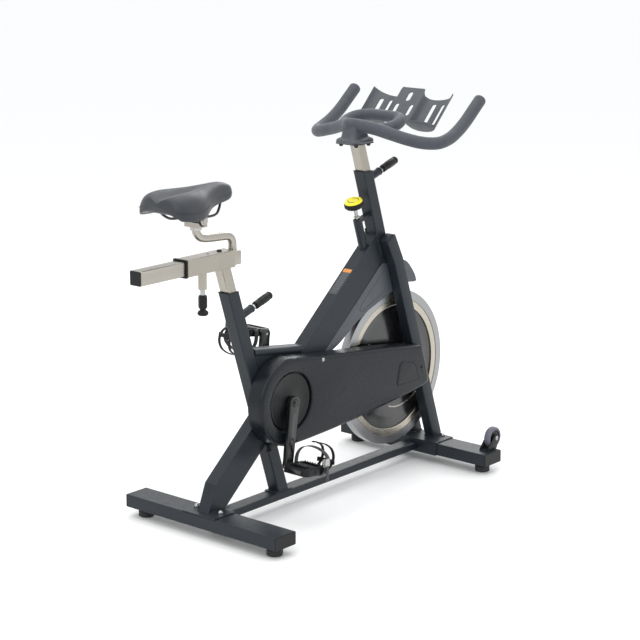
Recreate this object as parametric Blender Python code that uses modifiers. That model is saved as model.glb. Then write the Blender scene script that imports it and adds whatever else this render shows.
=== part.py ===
"""Indoor exercise bike: welded tube frame, belt-driven flywheel, sliding seat
and handlebar posts, friction brake, pedals with toe straps.

Frame of the model: +X forward (towards the handlebar), +Y to the rider's left,
+Z up, floor at Z = 0, origin under the middle of the overall length.
Built in metres.
"""
import bpy
import bmesh
import math
from mathutils import Matrix, Vector

# ---------------------------------------------------------------- dimensions
MID = 0.0469            # adds to every X below, puts the origin at mid length
FIT = 0.0003             # gap between touching pieces

FOOT_R, FOOT_H = 0.0220, 0.0273
STAB_W, STAB_H, STAB_LEN = 0.0802, 0.0366, 0.5496
STAB_Z = FOOT_H + STAB_H / 2
REAR_STAB_X, FRONT_STAB_X = -0.4299, 0.5042
CAP_T = 0.0030
FOOT_Y = 0.2392
RAIL_W, RAIL_Z0, RAIL_Z1 = 0.0460, 0.0325, 0.0545
PLATE_T = 0.0030
WALL = 0.0020

TUBE = 0.0400            # square frame tubes
POST = 0.0320            # square sliding posts
LEAN = -0.3255           # dX/dZ of seat tube and head tube (72 degrees)
SEAT_X, SEAT_Z = -0.3408, 0.6570      # centre of seat tube mouth
HEAD_X, HEAD_Z = 0.2254, 0.9150       # centre of head tube mouth
BEAM_SLOPE, BEAM_Z0, BEAM_D = 0.8525, 0.4488, 0.0800

BB_X, BB_Z = -0.1700, 0.3290          # crank axis
FW_X, FW_Z, FW_R, FW_T = 0.3580, 0.3117, 0.2325, 0.0280
DISC_R = 0.1880
DRIVE_R, SMALL_R = 0.0960, 0.0300     # belt pulleys
BELT_Y, BELT_W, BELT_T = -0.0625, 0.0100, 0.0024
LEG_IN, LEG_W, LEG_D = 0.0220, 0.0320, 0.0400

CRANK_L = 0.1700
CRANK_SIN, CRANK_COS = 0.2500, 0.9682  # right crank points down and a little back

SLIDE_Z, SLIDE_S = 0.7515, 0.0380     # slider tube centre height and side
SLIDE_X0, SLIDE_X1 = -0.6815, -0.3090
SLEEVE_X0, SLEEVE_X1, SLEEVE_S = -0.5175, -0.3375, 0.0460
SPIN_X = -0.4403                      # slider pull pin

PIN_ROD_R, PIN_GRIP_R, BOSS_R = 0.0045, 0.0095, 0.0110
WHEEL_X, WHEEL_Z, WHEEL_R, WHEEL_W, WHEEL_Y = 0.5410, 0.0975, 0.0320, 0.0200, 0.2480
BAR_R = 0.0165

# ------------------------------------------------------------------- scene
for o in list(bpy.data.objects):
    bpy.data.objects.remove(o, do_unlink=True)
COLL = bpy.data.collections.new("exercise_bike")
bpy.context.scene.collection.children.link(COLL)
CUT = bpy.data.collections.new("cutters")
bpy.context.scene.collection.children.link(CUT)

MATS = {}


def material(name, rgb, rough, metal=0.0):
    m = bpy.data.materials.new(name)
    m.use_nodes = True
    b = m.node_tree.nodes["Principled BSDF"]
    b.inputs["Base Color"].default_value = (*rgb, 1.0)
    b.inputs["Roughness"].default_value = rough
    b.inputs["Metallic"].default_value = metal
    m.diffuse_color = (*rgb, 1.0)
    MATS[name] = m


material("powder_coat", (0.045, 0.052, 0.060), 0.45, 0.2)
material("cover_plastic", (0.030, 0.032, 0.036), 0.35)
material("grey_plastic", (0.120, 0.130, 0.145), 0.45)
material("black_plastic", (0.015, 0.016, 0.018), 0.40)
material("rubber", (0.020, 0.020, 0.021), 0.80)
material("satin_steel", (0.560, 0.535, 0.490), 0.35, 1.0)
material("machined_steel", (0.620, 0.610, 0.590), 0.30, 1.0)
material("bar_foam", (0.090, 0.098, 0.110), 0.70)
material("saddle_skin", (0.050, 0.055, 0.065), 0.50)
material("yellow_cap", (0.900, 0.760, 0.020), 0.35)
material("felt", (0.250, 0.200, 0.140), 0.95)
material("belt_rubber", (0.025, 0.025, 0.025), 0.70)
material("wheel_grey", (0.200, 0.200, 0.240), 0.60)
material("webbing", (0.020, 0.020, 0.022), 0.80)


# ------------------------------------------------------------------ helpers
def frame(origin, xdir, ydir):
    """Matrix whose local X and Y run along the given world directions."""
    x = Vector(xdir).normalized()
    z = x.cross(Vector(ydir)).normalized()
    y = z.cross(x)
    m = Matrix((x, y, z)).transposed().to_4x4()
    m.translation = Vector(origin)
    return m


def side(y=0.0):
    """Local x = world X, local y = world Z; extrusion runs along Y."""
    return frame((0, y, 0), (1, 0, 0), (0, 0, 1))


def link(name, mesh, mat, coll=COLL):
    o = bpy.data.objects.new(name, mesh)
    coll.objects.link(o)
    if mat:
        o.data.materials.clear()
        o.data.materials.append(MATS[mat])
    return o


def to_mesh(obj, merge=0.00002):
    """Swap an object's data for its evaluated, welded mesh in world space."""
    bpy.context.view_layer.update()
    dg = bpy.context.evaluated_depsgraph_get()
    ev = obj.evaluated_get(dg)
    me = bpy.data.meshes.new_from_object(ev, depsgraph=dg)
    me.transform(obj.matrix_world)
    bm = bmesh.new()
    bm.from_mesh(me)
    bmesh.ops.remove_doubles(bm, verts=bm.verts, dist=merge)
    bmesh.ops.recalc_face_normals(bm, faces=bm.faces)
    bm.to_mesh(me)
    bm.free()
    return me


def finish(tmp, name, mat):
    me = to_mesh(tmp)
    mats = mat
    bpy.data.objects.remove(tmp, do_unlink=True)
    return link(name, me, mats)


def prism(name, loops, thick, m, mat):
    """Flat outline (with holes) as a filled 2D curve, extruded to thickness."""
    cu = bpy.data.curves.new(name, "CURVE")
    cu.dimensions = "2D"
    cu.fill_mode = "BOTH"
    cu.extrude = thick / 2
    for loop in loops:
        sp = cu.splines.new("POLY")
        sp.points.add(len(loop) - 1)
        for p, (x, y) in zip(sp.points, loop):
            p.co = (x, y, 0, 1)
        sp.use_cyclic_u = True
    o = bpy.data.objects.new("tmp", cu)
    COLL.objects.link(o)
    o.matrix_world = m
    return finish(o, name, mat)


def circle(cx, cy, r, n=24, start=0.0):
    return [(cx + r * math.cos(start + 2 * math.pi * i / n),
             cy + r * math.sin(start + 2 * math.pi * i / n)) for i in range(n)]


def rrect(cx, cy, w, h, r=0.004, n=3):
    """Rounded rectangle outline."""
    pts = []
    for sx, sy, a0 in ((1, 1, 0), (-1, 1, 90), (-1, -1, 180), (1, -1, 270)):
        for i in range(n + 1):
            a = math.radians(a0 + 90 * i / n)
            pts.append((cx + sx * (w / 2 - r) + r * math.cos(a),
                        cy + sy * (h / 2 - r) + r * math.sin(a)))
    return pts


def arc(cx, cy, r, a0, a1, n):
    return [(cx + r * math.cos(math.radians(a0 + (a1 - a0) * i / n)),
             cy + r * math.sin(math.radians(a0 + (a1 - a0) * i / n))) for i in range(n + 1)]


def box(name, lo, hi, mat, coll=COLL):
    bm = bmesh.new()
    bmesh.ops.create_cube(bm, size=1.0)
    for v in bm.verts:
        for k in range(3):
            v.co[k] = lo[k] if v.co[k] < 0 else hi[k]
    me = bpy.data.meshes.new(name)
    bm.to_mesh(me)
    bm.free()
    return link(name, me, mat, coll)


def cyl(name, p0, p1, r, mat, n=24, r2=None, coll=COLL):
    a, b = Vector(p0), Vector(p1)
    bm = bmesh.new()
    bmesh.ops.create_cone(bm, cap_ends=True, segments=n, radius1=r, radius2=r if r2 is None else r2,
                          depth=(b - a).length)
    q = (b - a).to_track_quat("Z", "Y").to_matrix().to_4x4()
    q.translation = (a + b) / 2
    bm.transform(q)
    me = bpy.data.meshes.new(name)
    bm.to_mesh(me)
    bm.free()
    return link(name, me, mat, coll)


def turned(name, profile, m, mat, n=48):
    """Profile of (radius, height) points, closed at both ends, spun about local Z."""
    me = bpy.data.meshes.new(name)
    bm = bmesh.new()
    vs = [bm.verts.new((r, 0, z)) for r, z in profile]
    ed = [bm.edges.new((vs[i], vs[(i + 1) % len(vs)])) for i in range(len(vs))
          if not (profile[i][0] < 1e-9 and profile[(i + 1) % len(vs)][0] < 1e-9)]
    bmesh.ops.spin(bm, geom=vs + ed, cent=(0, 0, 0), axis=(0, 0, 1), angle=2 * math.pi,
                   steps=n, use_merge=True)
    bmesh.ops.remove_doubles(bm, verts=bm.verts, dist=0.00002)
    bmesh.ops.recalc_face_normals(bm, faces=bm.faces)
    bm.transform(m)
    bm.to_mesh(me)
    bm.free()
    return link(name, me, mat)


def tube(name, pts, r, mat, res=3, cyclic=False):
    """Round bar along a path: poly curve with a bevel and filled caps."""
    cu = bpy.data.curves.new(name, "CURVE")
    cu.dimensions = "3D"
    cu.bevel_depth = r
    cu.bevel_resolution = res
    cu.use_fill_caps = True
    sp = cu.splines.new("POLY")
    sp.points.add(len(pts) - 1)
    for p, c in zip(sp.points, pts):
        p.co = (*c, 1)
    sp.use_cyclic_u = cyclic
    o = bpy.data.objects.new("tmp", cu)
    COLL.objects.link(o)
    return finish(o, name, mat)


def smooth_path(ctrl, step):
    """Evenly spaced points on a Catmull-Rom curve through the control points."""
    c = [Vector(p) for p in ctrl]
    c = [2 * c[0] - c[1]] + c + [2 * c[-1] - c[-2]]
    out = []
    for i in range(1, len(c) - 2):
        p0, p1, p2, p3 = c[i - 1:i + 3]
        n = max(2, int((p2 - p1).length / step))
        for k in range(n):
            t = k / n
            out.append(0.5 * ((2 * p1) + (p2 - p0) * t + (2 * p0 - 5 * p1 + 4 * p2 - p3) * t * t
                              + (3 * p1 - p0 - 3 * p2 + p3) * t ** 3))
    out.append(c[-2])
    return [tuple(p) for p in out]


def boolean(obj, other, op, keep=False):
    md = obj.modifiers.new("cut", "BOOLEAN")
    md.operation = op
    md.solver = "EXACT"
    md.object = other
    bpy.context.view_layer.update()
    dg = bpy.context.evaluated_depsgraph_get()
    me = bpy.data.meshes.new_from_object(obj.evaluated_get(dg), depsgraph=dg)
    obj.modifiers.remove(md)
    obj.data = me
    bm = bmesh.new()
    bm.from_mesh(me)
    bmesh.ops.remove_doubles(bm, verts=bm.verts, dist=0.000003)
    bm.to_mesh(me)
    bm.free()
    if not keep:
        bpy.data.objects.remove(other, do_unlink=True)
    return obj


def cut(obj, *cutters):
    for c in cutters:
        boolean(obj, c, "DIFFERENCE")
    return obj


def weld(obj, *others):
    mat = obj.data.materials[0]
    for c in others:
        boolean(obj, c, "UNION")
    obj.data.materials.clear()
    obj.data.materials.append(mat)
    for p in obj.data.polygons:
        p.material_index = 0
    return obj


def bevelled(obj, width, segments=2, angle=40):
    md = obj.modifiers.new("round", "BEVEL")
    md.width = width
    md.segments = segments
    md.limit_method = "ANGLE"
    md.angle_limit = math.radians(angle)
    me = to_mesh(obj)
    obj.modifiers.clear()
    mat = obj.data.materials[0]
    obj.data = me
    obj.data.materials.clear()
    obj.data.materials.append(mat)
    return obj


def seat_axis(z):
    return SEAT_X + (SEAT_Z - z) * -LEAN


def head_axis(z):
    return HEAD_X + (HEAD_Z - z) * -LEAN


AX = Vector((LEAN, 0, 1)).normalized()        # up along seat and head tubes
OUT = Vector((AX.z, 0, -AX.x))                # forward and up, square to the tubes
BEAM = Vector((1, 0, BEAM_SLOPE)).normalized()
BEAM_UP = Vector((-BEAM.z, 0, BEAM.x))


def square_tube(name, p0, p1, side_x, side_y, wall, mat, along=None):
    """Straight box tube from p0 to p1 (centre line); side_y across the bike."""
    a, b = Vector(p0), Vector(p1)
    d = (b - a).normalized()
    x = Vector((0, 1, 0)).cross(d)
    m = frame((a + b) / 2, x, (0, 1, 0))
    loops = [rrect(0, 0, side_x, side_y, 0.0035, 2)]
    if wall:
        loops.append(rrect(0, 0, side_x - 2 * wall, side_y - 2 * wall, 0.002, 1))
    return prism(name, loops, (b - a).length, m, mat)


def slab(name, p0, p1, sx, sy, coll=CUT):
    """Plain oriented block along p0-p1, for cutting."""
    a, b = Vector(p0), Vector(p1)
    d = (b - a).normalized()
    x = Vector((0, 1, 0)).cross(d)
    bm = bmesh.new()
    bmesh.ops.create_cube(bm, size=1.0)
    m = frame((a + b) / 2, x, (0, 1, 0))
    for v in bm.verts:
        v.co = Vector((v.co.x * sx, v.co.y * sy, v.co.z * (b - a).length))
    bm.transform(m)
    me = bpy.data.meshes.new(name)
    bm.to_mesh(me)
    bm.free()
    o = link(name, me, None, coll)
    o.hide_render = True
    o.display_type = "WIRE"
    return o


# ---------------------------------------------------------- base and feet
for tag, sx in (("rear", REAR_STAB_X), ("front", FRONT_STAB_X)):
    m = frame((sx, 0, STAB_Z), (1, 0, 0), (0, 0, 1))
    prism(tag + "_stabilizer",
          [rrect(0, 0, STAB_W, STAB_H, 0.003, 2),
           rrect(0, 0, STAB_W - 2 * WALL, STAB_H - 2 * WALL, 0.0015, 1)],
          STAB_LEN, m, "powder_coat")
    for lr, s in (("left", 1), ("right", -1)):
        y = s * (STAB_LEN / 2 + FIT + CAP_T / 2)
        cap = prism(f"{tag}_end_cap_{lr}", [rrect(sx, STAB_Z, STAB_W, STAB_H, 0.003, 2)],
                    CAP_T, side(y), "black_plastic")
        plug = prism("plug", [rrect(sx, STAB_Z, STAB_W - 2 * WALL - 2 * FIT,
                                    STAB_H - 2 * WALL - 2 * FIT, 0.0015, 1)],
                     0.012, side(s * (STAB_LEN / 2 - 0.0045)), "black_plastic")
        weld(cap, plug)
        fy = s * FOOT_Y
        turned(f"{tag}_foot_{lr}",
               [(0, 0), (FOOT_R, 0), (FOOT_R, 0.0160), (0.013, 0.0185), (0.013, FOOT_H - FIT), (0, FOOT_H - FIT)],
               Matrix.Translation((sx, fy, 0)), "rubber", 20)

RAIL_X0, RAIL_X1 = REAR_STAB_X + STAB_W / 2 + FIT, FRONT_STAB_X - STAB_W / 2 - PLATE_T - 2 * FIT
square_tube("base_rail", (RAIL_X0, 0, (RAIL_Z0 + RAIL_Z1) / 2), (RAIL_X1, 0, (RAIL_Z0 + RAIL_Z1) / 2),
            RAIL_Z1 - RAIL_Z0, RAIL_W, WALL, "powder_coat")

# folded channel over the middle of the front stabilizer
ST, SF = FOOT_H + STAB_H, FRONT_STAB_X
ch_w = 0.196
top = box("front_channel_bracket", (SF - STAB_W / 2 - PLATE_T - FIT, -ch_w / 2, ST + FIT),
          (SF + STAB_W / 2 + PLATE_T + FIT, ch_w / 2, ST + FIT + PLATE_T), "powder_coat")
for s in (-1, 1):
    x0 = SF + s * (STAB_W / 2 + FIT)
    weld(top, box("flange", (min(x0, x0 + s * PLATE_T), -ch_w / 2, FOOT_H - 0.001),
                  (max(x0, x0 + s * PLATE_T), ch_w / 2, ST + FIT + PLATE_T), "powder_coat"))
CH_TOP = ST + FIT + PLATE_T

# ------------------------------------------------------------- main beam
RP_TOP = ST + FIT + PLATE_T


def beam_pt(x, off):
    c = Vector((x, 0, BEAM_Z0 + BEAM_SLOPE * x))
    return c + BEAM_UP * off


# side outline of the beam: foot on the rear plate, top against the head tube
HD = BEAM_D / 2
foot_z = RP_TOP - 0.0005
upper = beam_pt(-0.3950, HD)
lo_x = (foot_z - (beam_pt(0, -HD).z - BEAM_SLOPE * beam_pt(0, -HD).x)) / BEAM_SLOPE
head_back = head_axis(0.735) - (TUBE / 2 + FIT) / AX.z
ht0 = Vector((head_axis(0.760), 0, 0.760)) - OUT * (TUBE / 2 + FIT)


def hit(p, d, q, e):
    """Intersection of two lines in the XZ plane."""
    det = d.x * -e.z + e.x * d.z
    t = ((q.x - p.x) * -e.z + e.x * (q.z - p.z)) / det
    return p + d * t


u_top = hit(beam_pt(0, HD), BEAM, ht0, AX)
l_top = hit(beam_pt(0, -HD), BEAM, ht0, AX)
outline = [(-0.4510, foot_z), (lo_x, foot_z), (l_top.x, l_top.z), (u_top.x, u_top.z),
           (upper.x, upper.z)]
beam = prism("main_beam", [outline], TUBE, side(), "powder_coat")
iw = HD - WALL
ul = hit(beam_pt(0, iw), BEAM, Vector((upper.x + WALL, 0, upper.z)), Vector((-0.4510 - upper.x, 0, foot_z - upper.z)))
rl = Vector((-0.4510 + WALL, 0, foot_z))
lo2 = beam_pt(0, -iw)
li = (foot_z - 0.010 - (lo2.z - BEAM_SLOPE * lo2.x)) / BEAM_SLOPE
inner = [(rl.x - 0.003, foot_z - 0.010), (li, foot_z - 0.010),
         (beam_pt(0.5, -iw).x, beam_pt(0.5, -iw).z), (beam_pt(0.5, iw).x, beam_pt(0.5, iw).z),
         (ul.x, ul.z)]
cut(beam, prism("void", [inner], TUBE - 2 * WALL, side(), None))
plate = box("rear_plate", (REAR_STAB_X - STAB_W / 2, -0.0600, ST + FIT),
            (REAR_STAB_X + STAB_W / 2, 0.0600, RP_TOP), "powder_coat")
weld(beam, plate)
BB_SHELL_R, BB_HALF = 0.0225, 0.0340
cut(beam, cyl("bore", (BB_X, -0.05, BB_Z), (BB_X, 0.05, BB_Z), BB_SHELL_R + FIT, None, 32))
# brake rod passage through the beam
ROD_X, ROD_Z = 0.2000, 0.7780
rod_lo = Vector((ROD_X, 0, ROD_Z)) - AX * 0.30
cut(beam, cyl("bore", tuple(rod_lo), (ROD_X, 0, ROD_Z), 0.0075, None, 16))

# ------------------------------------------------ seat tube and lower strut
top_p = Vector((seat_axis(SEAT_Z), 0, SEAT_Z))
low_p = Vector((seat_axis(0.26), 0, 0.26))
st = square_tube("seat_tube", top_p + AX * 0.02, low_p, TUBE, TUBE, WALL, "powder_coat")
cut(st, box("level", (-1, -1, SEAT_Z), (1, 1, 1), None))
beam_block = beam_pt(-0.22, -0.3 + HD + FIT)
cut(st, slab("mitre", beam_block - BEAM * 0.5, beam_block + BEAM * 0.5, 0.6, 0.2))
# boss for the seat height pin, on the front face
PIN_S = Vector((seat_axis(0.5770), 0, 0.5770))
boss_root = PIN_S + OUT * (TUBE / 2 - 0.001)
weld(st, cyl("boss", tuple(boss_root), tuple(PIN_S + OUT * (TUBE / 2 + 0.048)), BOSS_R, "powder_coat", 20))
cut(st, cyl("bore", tuple(PIN_S + OUT * 0.012), tuple(PIN_S + OUT * 0.10), PIN_ROD_R + 0.0004, None, 14))

strut = square_tube("lower_strut", Vector((seat_axis(0.32), 0, 0.32)), Vector((seat_axis(0.0), 0, 0.0)),
                    TUBE, TUBE, WALL, "powder_coat")
bb2 = beam_pt(-0.18, 0.3 - HD - FIT)
cut(strut, slab("mitre", bb2 - BEAM * 0.5, bb2 + BEAM * 0.5, 0.6, 0.2))
base_z = RAIL_Z1 + FIT + 0.003
cut(strut, box("level", (-1, -1, -1), (1, 1, base_z - 0.0005), None))
sx0 = seat_axis(base_z)
weld(strut, box("pad", (sx0 - 0.034, -0.0220, RAIL_Z1 + FIT), (sx0 + 0.034, 0.0220, base_z), "powder_coat"))

# --------------------------------------------------------------- head tube
h_top = Vector((head_axis(HEAD_Z), 0, HEAD_Z))
h_low = Vector((head_axis(0.672), 0, 0.672))
ht = square_tube("head_tube", h_top + AX * 0.02, h_low, TUBE, TUBE, WALL, "powder_coat")
cut(ht, box("level", (-1, -1, HEAD_Z), (1, 1, 2), None))
PIN_H = Vector((head_axis(0.8850), 0, 0.8850))
weld(ht, cyl("boss", tuple(PIN_H + OUT * (TUBE / 2 - 0.001)), tuple(PIN_H + OUT * (TUBE / 2 + 0.048)),
             BOSS_R, "powder_coat", 20))
cut(ht, cyl("bore", tuple(PIN_H + OUT * 0.012), tuple(PIN_H + OUT * 0.10), PIN_ROD_R + 0.0004, None, 14))
# tension tube for the brake rod, carried by a lug on the back of the head tube
rod_top = Vector((ROD_X, 0, ROD_Z))
tt_low = hit(rod_top, AX, beam_pt(0, HD), BEAM)
TT_R = 0.0130
tt = cyl("tension_tube", tuple(tt_low - AX * 0.02), tuple(rod_top), TT_R, "powder_coat", 24)
bb3 = beam_pt(0.2, -0.3 + HD + FIT)
cut(tt, slab("mitre", bb3 - BEAM * 0.5, bb3 + BEAM * 0.5, 0.6, 0.2))
lug_c = rod_top - AX * 0.007
gap = (Vector((head_axis(lug_c.z), 0, lug_c.z)) - lug_c).dot(OUT) - TUBE / 2
lug = slab("lug", lug_c, lug_c + OUT * (gap + 0.001), 0.008, 0.020)
weld(tt, lug)
weld(ht, tt)
cut(ht, cyl("bore", tuple(tt_low - AX * 0.05), tuple(rod_top + AX * 0.01), 0.0075, None, 16))

# --------------------------------------------------------------- fork legs
LEG_TOP = Vector((0.2910, 0, 0.7160))
BEND = Vector((0.3280, 0, 0.6440))
LEG_FOOT = Vector((0.5270, 0, CH_TOP))
for lr, s in (("left", 1), ("right", -1)):
    yc = s * (LEG_IN + LEG_W / 2)
    b = Vector((BEND.x, yc, BEND.z))
    f = Vector((LEG_FOOT.x, yc, LEG_FOOT.z))
    d = (f - b).normalized()
    leg = square_tube(f"fork_leg_{lr}", b - d * 0.012, f + d * 0.03, LEG_D, LEG_W, 0, "powder_coat")
    yt = s * (TUBE / 2 + FIT + 0.0145)
    t = Vector((LEG_TOP.x, yt, LEG_TOP.z))
    up = square_tube("up", t, b + (b - t).normalized() * 0.004, LEG_D, 0.028, 0, "powder_coat")
    weld(leg, up)
    clear = square_tube("clear", h_top + AX * 0.05, h_low - AX * 0.020, 0.0800, TUBE + 2 * FIT, 0, None)
    cut(leg, clear)
    cut(leg, box("level", (-1, -1, -1), (1, 1, CH_TOP + FIT), None))
    hollow = slab("hollow", b + d * 0.02, f + d * 0.05, LEG_D - 2 * WALL, LEG_W - 2 * WALL)
    cut(leg, hollow)
    # plate that carries the flywheel axle behind the leg
    py = s * 0.0460
    leg_x = b.x + (b.z - FW_Z) / (b.z - f.z) * (f.x - b.x)
    pl = prism("plate", [[(FW_X - 0.026, FW_Z + 0.020), (FW_X - 0.026, FW_Z - 0.020),
                          (leg_x + 0.004, FW_Z - 0.034), (leg_x - 0.010, FW_Z + 0.034)]],
               0.006, side(py), "powder_coat")
    weld(leg, pl)
    cut(leg, cyl("bore", (FW_X, s * 0.03, FW_Z), (FW_X, s * 0.07, FW_Z), 0.0103, None, 20))

# ----------------------------------------------------- top bar and gusset
tb_a = Vector((seat_axis(0.4765) + (TUBE / 2 + 2 * FIT) / AX.z, 0, 0.4765))
tb_dir = Vector((1, 0, -0.140)).normalized()
tb_b = tb_a + tb_dir * 0.260
bar = prism("top_bar", [rrect(0, 0, 0.0230, 0.0440, 0.0100, 4)], 0.260,
            frame((tb_a + tb_b) / 2, Vector((0, 1, 0)).cross(tb_dir), (0, 1, 0)), "powder_coat")
sp = Vector((seat_axis(0.45), 0, 0.45)) + OUT * (TUBE / 2 + FIT - 0.3)
cut(bar, slab("mitre", sp - AX * 0.5, sp + AX * 0.5, 0.6, 0.2))
bm4 = beam_pt(-0.05, HD + FIT - 0.3)
cut(bar, slab("mitre", bm4 - BEAM * 0.5, bm4 + BEAM * 0.5, 0.6, 0.2))
gs = prism("gusset", [[(-0.40, 0.4955), (-0.02, 0.4423), (-0.02, 0.30), (-0.40, 0.30)]], 0.0060, side(-0.0155),
           "powder_coat")
sp2 = Vector((seat_axis(0.40), 0, 0.40)) + OUT * (TUBE / 2 + FIT - 0.3)
cut(gs, slab("mitre", sp2 - AX * 0.5, sp2 + AX * 0.5, 0.6, 0.2))
bm5 = beam_pt(-0.05, HD + FIT - 0.3)
cut(gs, slab("mitre", bm5 - BEAM * 0.5, bm5 + BEAM * 0.5, 0.6, 0.2))
cut(gs, cyl("bore", (BB_X, -0.05, BB_Z), (BB_X, 0.05, BB_Z), BB_SHELL_R + 0.001, None, 32))
weld(bar, gs)

# -------------------------------------------- bottom bracket, axle, cranks
prism("bottom_bracket_shell", [circle(BB_X, BB_Z, BB_SHELL_R, 32), circle(BB_X, BB_Z, 0.0089, 20)],
      2 * BB_HALF, side(), "powder_coat")
cyl("crank_axle", (BB_X, -0.0870, BB_Z), (BB_X, 0.0540, BB_Z), 0.0085, "machined_steel", 20)


def hull2(x0, z0, r0, x1, z1, r1, n=9):
    """Outline around two circles joined by straight flanks."""
    d = math.hypot(x1 - x0, z1 - z0)
    base = math.degrees(math.atan2(z1 - z0, x1 - x0))
    g = math.degrees(math.acos((r0 - r1) / d))
    return (arc(x0, z0, r0, base + g, base + 360 - g, n) + arc(x1, z1, r1, base - g, base + g, n))


for lr, s, y_in, y_flare in (("right", -1, 0.0706, 0.0150), ("left", 1, 0.0346, 0.0200)):
    dx, dz = s * CRANK_SIN, s * CRANK_COS
    px, pz = BB_X + dx * CRANK_L, BB_Z + dz * CRANK_L
    t0 = 0.0165
    cr = prism(f"crank_{lr}", [hull2(BB_X, BB_Z, 0.0170, px, pz, 0.0130),
                               circle(BB_X, BB_Z, 0.0088, 20), circle(px, pz, 0.0063, 16)],
               t0, side(s * (y_in + t0 / 2)), "black_plastic")
    for v in cr.data.vertices:
        t = ((v.co.x - BB_X) * dx + (v.co.z - BB_Z) * dz) / CRANK_L
        v.co.y += s * y_flare * max(0.0, min(1.0, (t - 0.05) / 0.90))
        if abs(v.co.y) > y_in + t0 * 0.6 + y_flare * max(0, t) * 0.5 and t > 0.5:
            v.co.y -= s * 0.0025
    yo = y_in + t0 + y_flare
    spd = turned("spindle", [(0, -0.0135), (0.0060, -0.0135), (0.0060, 0.0010), (0.0085, 0.0010), (0.0085, 0.0050),
                             (0.0060, 0.0050), (0.0060, 0.0970), (0, 0.0970)],
                 frame((px, s * yo, pz), (0, 0, s), (1, 0, 0)), "machined_steel", 16)
    # spindle screwed through the eye of the crank
    eye = cyl("eye", (px, s * (yo - 0.0130), pz), (px, s * (yo - 0.004), pz), 0.0075, "machined_steel", 16)
    weld(spd, eye)
    weld(cr, spd)

# pedal bodies and toe straps, built level about the origin and then placed
PED_X, PED_Y, PED_H = 0.0840, 0.0880, 0.0220


def pedal(lr, s, flip):
    dx, dz = s * CRANK_SIN, s * CRANK_COS
    px, pz = BB_X + dx * CRANK_L, BB_Z + dz * CRANK_L
    y0 = {"right": 0.0706 + 0.0165 + 0.0150, "left": 0.0346 + 0.0165 + 0.0200}[lr] + 0.0090
    yc = y0 + PED_Y / 2
    win = 0.0200
    top = frame((0, yc, 0), (1, 0, 0), (0, 1, 0))
    body = prism(f"pedal_{lr}", [rrect(0, 0, PED_X, PED_Y, 0.010, 3),
                                 rrect(0.0250, 0, win, PED_Y - 0.0230, 0.004, 2),
                                 rrect(-0.0250, 0, win, PED_Y - 0.0248, 0.004, 2)],
                 PED_H, top, "black_plastic")
    cut(body, cyl("bore", (0, y0 - 0.02, 0), (0, y0 + PED_Y + 0.02, 0), 0.0063, None, 16))
    # strap: band that rises from both flanks and arches over the foot
    hw = PED_Y / 2 + 0.0045
    outer = [(-hw - 0.002, -0.008)] + [(-hw * math.cos(math.radians(a)) * 1.0, 0.006 + 0.062 * math.sin(math.radians(a)) ** 0.8)
                                      for a in range(4, 177, 12)] + [(hw + 0.002, -0.008)]
    hw2 = hw - 0.0036
    inner_ = [(hw2, -0.008)] + [(hw2 * math.cos(math.radians(a)), 0.006 + 0.0585 * math.sin(math.radians(a)) ** 0.8)
                                for a in range(4, 177, 12)] + [(-hw2, -0.008)]
    band = prism(f"toe_strap_{lr}", [outer + inner_], 0.0140,
                 frame((0.0290, yc, 0), (0, 1, 0), (0, 0, 1)), "webbing")
    # toe cage: curved rib from under the front of the pedal up to the strap
    rib_o = [(0.0455, -0.0110), (0.0750, -0.0080), (0.0930, 0.0040), (0.1010, 0.0220), (0.0960, 0.0420),
             (0.0760, 0.0600), (0.0500, 0.0700), (0.0290, 0.0720)]
    rib_i = [(0.0290, 0.0655), (0.0480, 0.0650), (0.0710, 0.0560), (0.0905, 0.0390), (0.0945, 0.0220),
             (0.0875, 0.0080), (0.0730, -0.0025), (0.0455, -0.0050)]
    rib = prism("rib", [rib_o + rib_i], 0.0300, frame((0, yc, 0), (1, 0, 0), (0, 0, 1)), "webbing")
    weld(band, rib)
    # the rib's foot is screwed to the front of the pedal; the strap passes round it
    lug_f = box("lug", (0.0424, yc - 0.0138, -0.0120), (0.0510, yc + 0.0138, 0.0016), "webbing")
    weld(band, lug_f)
    ang = math.radians(flip)
    rot = Matrix.Rotation(ang, 4, "Y")
    for o in (body, band):
        if s < 0:
            o.data.transform(Matrix.Scale(-1, 4, (0, 1, 0)))
            o.data.flip_normals()
        o.data.transform(Matrix.Translation((px, 0, pz)) @ rot)


pedal("right", -1, 6)
pedal("left", 1, 188)

# ------------------------------------------------------------ belt drive
# drive pulley: rim with a shallow web, hub on the crank axle
by0, by1 = BELT_Y - 0.0060, BELT_Y + 0.0060
turned("drive_pulley",
       [(0.0089, -0.0140), (0.0200, -0.0140), (0.0200, -0.0060), (DRIVE_R, -0.0060),
        (DRIVE_R, 0.0060), (0.0870, 0.0060), (0.0870, 0.0000), (0.0089, 0.0000)],
       frame((BB_X, BELT_Y, BB_Z), (0, 0, -1), (1, 0, 0)), "cover_plastic", 36)
turned("flywheel_pulley",
       [(0.0103, -0.0060), (SMALL_R, -0.0060), (SMALL_R, 0.0060), (0.0103, 0.0060)],
       frame((FW_X, BELT_Y, FW_Z), (0, 0, -1), (1, 0, 0)), "machined_steel", 24)
R0, R1 = DRIVE_R + 3 * FIT, SMALL_R + 3 * FIT
prism("drive_belt",
      [hull2(BB_X, BB_Z, R0 + BELT_T, FW_X, FW_Z, R1 + BELT_T, 20), hull2(BB_X, BB_Z, R0, FW_X, FW_Z, R1, 20)],
      BELT_W, side(BELT_Y), "belt_rubber")

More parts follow.
